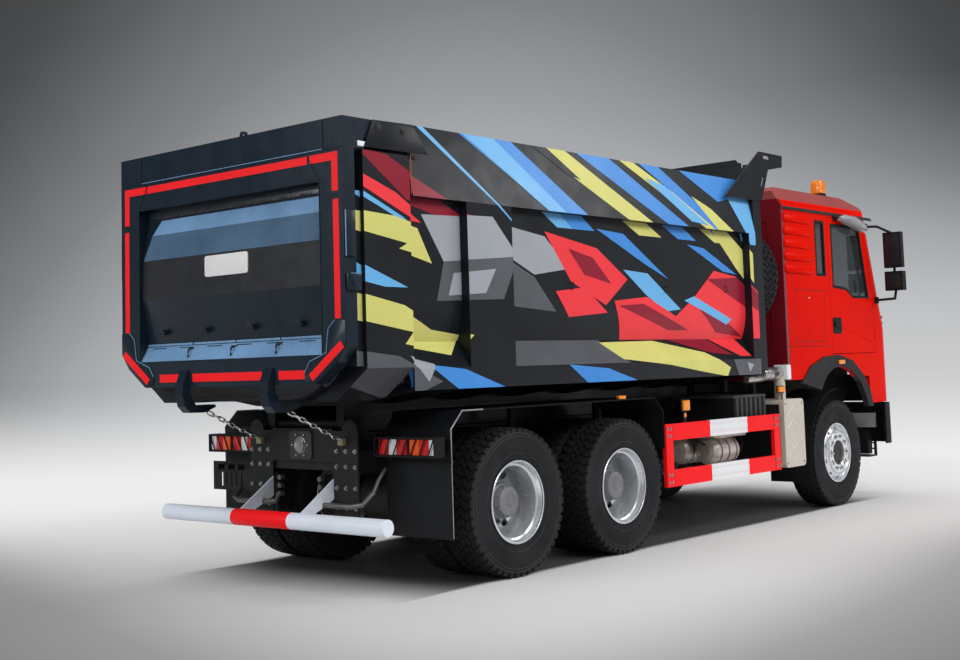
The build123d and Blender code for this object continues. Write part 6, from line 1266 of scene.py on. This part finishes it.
def make_camera():
    """The camera at the photograph's viewing angle."""
    forward = Vector(
        (cos(CAMERA_PITCH) * cos(CAMERA_YAW), cos(CAMERA_PITCH) * sin(CAMERA_YAW), sin(CAMERA_PITCH))
    )
    right = Vector((sin(CAMERA_YAW), -cos(CAMERA_YAW), 0))
    up = right.cross(forward)
    rolled_right = cos(CAMERA_ROLL) * right + sin(CAMERA_ROLL) * up
    rolled_up = -sin(CAMERA_ROLL) * right + cos(CAMERA_ROLL) * up
    data = bpy.data.cameras.new("camera")
    data.sensor_width = 36.0
    data.lens = FOCAL_PIXELS / IMAGE_W * data.sensor_width
    data.shift_y = (PRINCIPAL_ROW - IMAGE_H / 2) / IMAGE_W
    data.clip_end = 2000
    camera = bpy.data.objects.new("camera", data)
    axes = Matrix((rolled_right, rolled_up, -forward)).transposed()
    camera.matrix_world = Matrix.Translation(CAMERA_AT) @ axes.to_4x4()
    bpy.context.scene.collection.objects.link(camera)
    bpy.context.scene.camera = camera


def area_lamp(name, place, target, size, power, tint=(1.0, 1.0, 1.0)):
    """A soft rectangular lamp aimed at a point."""
    data = bpy.data.lights.new(name, "AREA")
    data.shape = "RECTANGLE"
    data.size, data.size_y = size
    data.energy = power
    data.color = tint
    lamp = bpy.data.objects.new(name, data)
    lamp.location = place
    lamp.rotation_mode = "QUATERNION"
    lamp.rotation_quaternion = (Vector(target) - Vector(place)).to_track_quat("-Z", "Y")
    bpy.context.scene.collection.objects.link(lamp)


class Number:
    """A number in a shader that plain sums can be done with."""

    def __init__(self, tree, socket):
        self.tree, self.socket = tree, socket

    def work(self, operation, *values):
        """The result of a Math node on numbers, sockets' or plain."""
        inputs = {slot: getattr(value, "socket", value) for slot, value in enumerate(values)}
        return Number(self.tree, add_node(self.tree, "Math", inputs, operation=operation).outputs[0])

    def __add__(self, other):
        return self.work("ADD", self, other)

    def __sub__(self, other):
        return self.work("SUBTRACT", self, other)

    def __rsub__(self, other):
        return self.work("SUBTRACT", other, self)

    def __mul__(self, other):
        return self.work("MULTIPLY", self, other)

    def __truediv__(self, other):
        return self.work("DIVIDE", self, other)

    def __rtruediv__(self, other):
        return self.work("DIVIDE", other, self)

    def held(self, low, high):
        """This number held between two limits."""
        return self.work("MINIMUM", self.work("MAXIMUM", self, low), high)

    def smooth(self, low, high):
        """Zero below low, one above high, and a soft step between."""
        return Number(self.tree, mapped(self.tree, self.socket, low, high, kind="SMOOTHSTEP"))


def split_axes(tree, output):
    """The x, y and z of a place in a shader."""
    place = add_node(tree, "TexCoord").outputs[output]
    split = add_node(tree, "SeparateXYZ", {"Vector": place})
    return [Number(tree, split.outputs[axis]) for axis in "XYZ"]


def ramp(number, stops, low, high):
    """Colour that follows stops of (value, linear grey, tint) between low and high."""
    tree = number.tree
    node = add_node(tree, "ValToRGB", {"Fac": mapped(tree, number.socket, low, high)})
    node.color_ramp.interpolation = "B_SPLINE"
    elements = node.color_ramp.elements
    while len(elements) < len(stops):
        elements.new(0.5)
    for element, (value, grey, tint) in zip(elements, stops):
        element.position = (value - low) / (high - low)
        element.color = (*(grey * part for part in tint), 1)
    return node.outputs["Color"]


PLAIN, COOL = (1.0, 1.0, 1.0), (0.965, 0.995, 1.035)
# floor: slope of the view down to it, linear grey, tint; the greys paint the light's falloff, brightest near the
# horizon and darker towards the viewer
FLOOR_STOPS = (
    (0.0, 0.84, PLAIN), (0.08, 0.86, PLAIN), (0.12, 0.84, PLAIN), (0.15, 0.78, PLAIN), (0.18, 0.7, PLAIN),
    (0.215, 0.47, PLAIN), (0.25, 0.3, PLAIN), (0.32, 0.22, PLAIN),
)
FLOOR_RANGE = (0.0, 0.4)
# backdrop: height of the ray plus its fall to the sides, linear grey, tint; the greys paint the light's falloff,
# brightest at the horizon and darker upwards and to the sides
SKY_STOPS = (
    (-0.05, 0.62, PLAIN), (0.0, 0.6, PLAIN), (0.1, 0.5, COOL), (0.18, 0.37, COOL), (0.225, 0.3, COOL),
    (0.27, 0.225, COOL), (0.35, 0.138, COOL), (0.44, 0.06, COOL), (0.62, 0.045, COOL),
)
SKY_RANGE = (-0.05, 1.0)
# painted falloff of the light towards the sides of the floor and backdrop
SIDE_FALL = 2.0
MOST_SIDE_FALL = 0.26
SIDE_STEP = (-0.02, 0.12)
# painted shadow under the truck: this grey darkens the floor's colour, fading out across these spans of x and y
PAINTED_SHADOW_GREY = 0.11
PAINTED_SHADOW_X, PAINTED_SHADOW_Y = (2.9, 3.9), (1.12, 1.22)


def along_view(east, north):
    """Distance away from and aside of the photograph's viewpoint."""
    return east * cos(CAMERA_YAW) + north * sin(CAMERA_YAW), east * sin(CAMERA_YAW) - north * cos(CAMERA_YAW)


def seen_rays(tree):
    """One for what the viewer, gloss and glass see, zero for plain light."""
    path = add_node(tree, "LightPath")
    seen, gloss, glass = (Number(tree, path.outputs[f"Is {ray} Ray"]) for ray in ("Camera", "Glossy", "Transmission"))
    return seen.work("MAXIMUM", seen.work("MAXIMUM", seen, gloss), glass)


def blend_shaders(tree, factor, first, second, output):
    """Send a mix of two shaders to the tree's output."""
    mix = add_node(tree, "MixShader", {0: factor.socket, 1: first, 2: second})
    fill(tree, tree.nodes[output], {"Surface": mix.outputs["Shader"]})


def make_floor_material():
    """Pale floor that keeps the truck's shadow, adds a painted shadow under it, and runs into the backdrop further off.
    """
    material = bpy.data.materials.new("floor_pale")
    material.use_nodes = True
    tree = material.node_tree
    x, y, _ = split_axes(tree, "Object")
    away, aside = along_view(x - CAMERA_AT[0], y - CAMERA_AT[1])
    away = away.work("MAXIMUM", away, 4.0)
    slope = CAMERA_AT[2] / away
    tilt = (aside / away).held(-0.4, 0.4)
    horizon = slope.smooth(0.0, 0.085)
    slope = slope + tilt * tilt * 0.75 * slope.smooth(0.06, 0.16)
    reach_out = away * away + aside * aside
    side = aside / reach_out.work("SQRT", reach_out)
    fall = side * side * SIDE_FALL
    fall = fall.work("MINIMUM", fall, MOST_SIDE_FALL) * (1.0 - side.smooth(*SIDE_STEP))
    pick = mixed(tree, horizon.socket, ramp(fall, SKY_STOPS, *SKY_RANGE), ramp(slope, FLOOR_STOPS, *FLOOR_RANGE))
    # painted shadow: the floor's colour darkened under the truck's footprint
    outside = x.work("MAXIMUM", x.work("ABSOLUTE", x).smooth(*PAINTED_SHADOW_X), y.work("ABSOLUTE", y).smooth(*PAINTED_SHADOW_Y))
    shade = mixed(tree, (1.0 - outside).socket, pick, (*[PAINTED_SHADOW_GREY] * 3, 1), "MULTIPLY")
    plain = {"Roughness": 0.62, "Specular IOR Level": 0.15, "Base Color": shade}
    shader = fill(tree, tree.nodes["Principled BSDF"], plain)
    glow = add_node(tree, "Emission", {"Color": pick})
    reach_x, reach_y = x / 8.5, y / 5.5
    reach = reach_x * reach_x + reach_y * reach_y
    far = reach.work("SQRT", reach).smooth(0.55, 1.25)
    blend_shaders(tree, far * seen_rays(tree), shader.outputs["BSDF"], glow.outputs["Emission"], "Material Output")
    return material


def make_world():
    """Plain light for the truck, and a soft grey backdrop for the view, gloss and glass."""
    world = bpy.data.worlds.new("studio")
    bpy.context.scene.world = world
    world.use_nodes = True
    tree = world.node_tree
    light = fill(tree, tree.nodes["Background"], {"Color": (1, 1, 1, 1), "Strength": 0.6})
    x, y, z = split_axes(tree, "Generated")
    _, aside = along_view(x, y)
    right_step = aside.smooth(*SIDE_STEP)
    fall = aside * aside * SIDE_FALL
    fall = fall.work("MINIMUM", fall, MOST_SIDE_FALL) * ((1.0 - right_step) + (z / 0.2).held(0.0, 1.0) * right_step)
    backdrop = add_node(tree, "Background", {"Color": ramp(z + fall, SKY_STOPS, *SKY_RANGE)})
    blend_shaders(
        tree, seen_rays(tree), light.outputs["Background"], backdrop.outputs["Background"], "World Output"
    )


# soft lamps: name, place, target, size, power, and tint if not plain
LAMPS = (
    ("key", (-2.5, -10.5, 8.5), (-0.3, -0.8, 1.6), (11.0, 4.0), 780),
    ("overhead", (0.5, 1.2, 9.0), (0.0, 0.0, 0.0), (12.0, 3.0), 350),
    ("rear_fill", (-13.0, 2.5, 4.5), (-4.0, 0.0, 2.0), (6.0, 3.0), 380, (0.92, 0.96, 1.0)),
    ("cab_fill", (8.5, -9.0, 7.5), (3.2, -0.8, 1.8), (4.0, 3.0), 240),
)


def make_stage():
    """Pale floor, grey backdrop and soft lamps."""
    scene = bpy.context.scene
    scene.view_settings.view_transform = "Standard"
    mesh = bpy.data.meshes.new("floor")
    corners = [(FLOOR_REACH * x, FLOOR_REACH * y, 0) for x, y in ((-1, -1), (1, -1), (1, 1), (-1, 1))]
    mesh.from_pydata(corners, [], [(0, 1, 2, 3)])
    mesh.materials.append(make_floor_material())
    floor = bpy.data.objects.new("floor", mesh)
    scene.collection.objects.link(floor)
    make_world()
    for lamp in LAMPS:
        area_lamp(*lamp)


# ---------------------------------------------------------------- CAD nodes that stay
NODE_FINISH = {
    "body_black": "body_tub body_side_frames headboard body_underframe",
    "gate_blue": "tailgate_frame tailgate_panel",
    "cab_red": "cab_shell cab_trim door_left door_right",
    "roof_red_painted_sheen": "cab_roof",
    # the cab's rear wall takes the red in painted shade
    "cab_red_painted_shade": "cab_rear",
    "dark_plastic": "cab_floor cab_front mirrors front_bumper mudguards tail_lamps",
    "glass": "cab_glass door_glass_left door_glass_right",
    "trim_grey": "wheel_arches",
    "fabric": "cab_interior",
    "amber": "beacon",
    "chassis_black": "chassis_frame rear_plates leaf_springs propshafts fuel_tank spare_carrier hoist_cover",
    "cast_dark": "front_axle drive_axles engine_block knuckle_left knuckle_right",
    "tank_alloy": "air_tanks",
    "guard_red": "side_guards",
    "beige": "exhaust",
    "lens_clear": "head_lamps",
    "bar_grey": "underride_bar",
    "bare_steel": "hoist_stage_1 hoist_stage_2 hoist_stage_3",
}


def dress():
    """Give the CAD nodes their finishes."""
    for material, nodes in NODE_FINISH.items():
        for node in nodes.split():
            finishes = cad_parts[node].data.materials
            finishes.clear()
            finishes.append(M[material])


def on_both_sides(*makers):
    """Call each maker for the left and then the right."""
    for make in makers:
        for side in SIDES:
            make(side)


dress()
make_tyres()
make_rims()
on_both_sides(paint_side)
make_tailgate_trim()
on_both_sides(make_guards)
make_exhaust_trim()
make_chassis_trim()
on_both_sides(make_markers, make_tail_lenses)
make_rear()
make_chains()
make_body_trim()
on_both_sides(make_cab_sides)
make_kerb_mirror()
on_both_sides(make_cab_corners)
make_cab_front()
on_both_sides(make_cab_ribs, make_wheel_wells)
make_beacon()
make_stage()
make_camera()
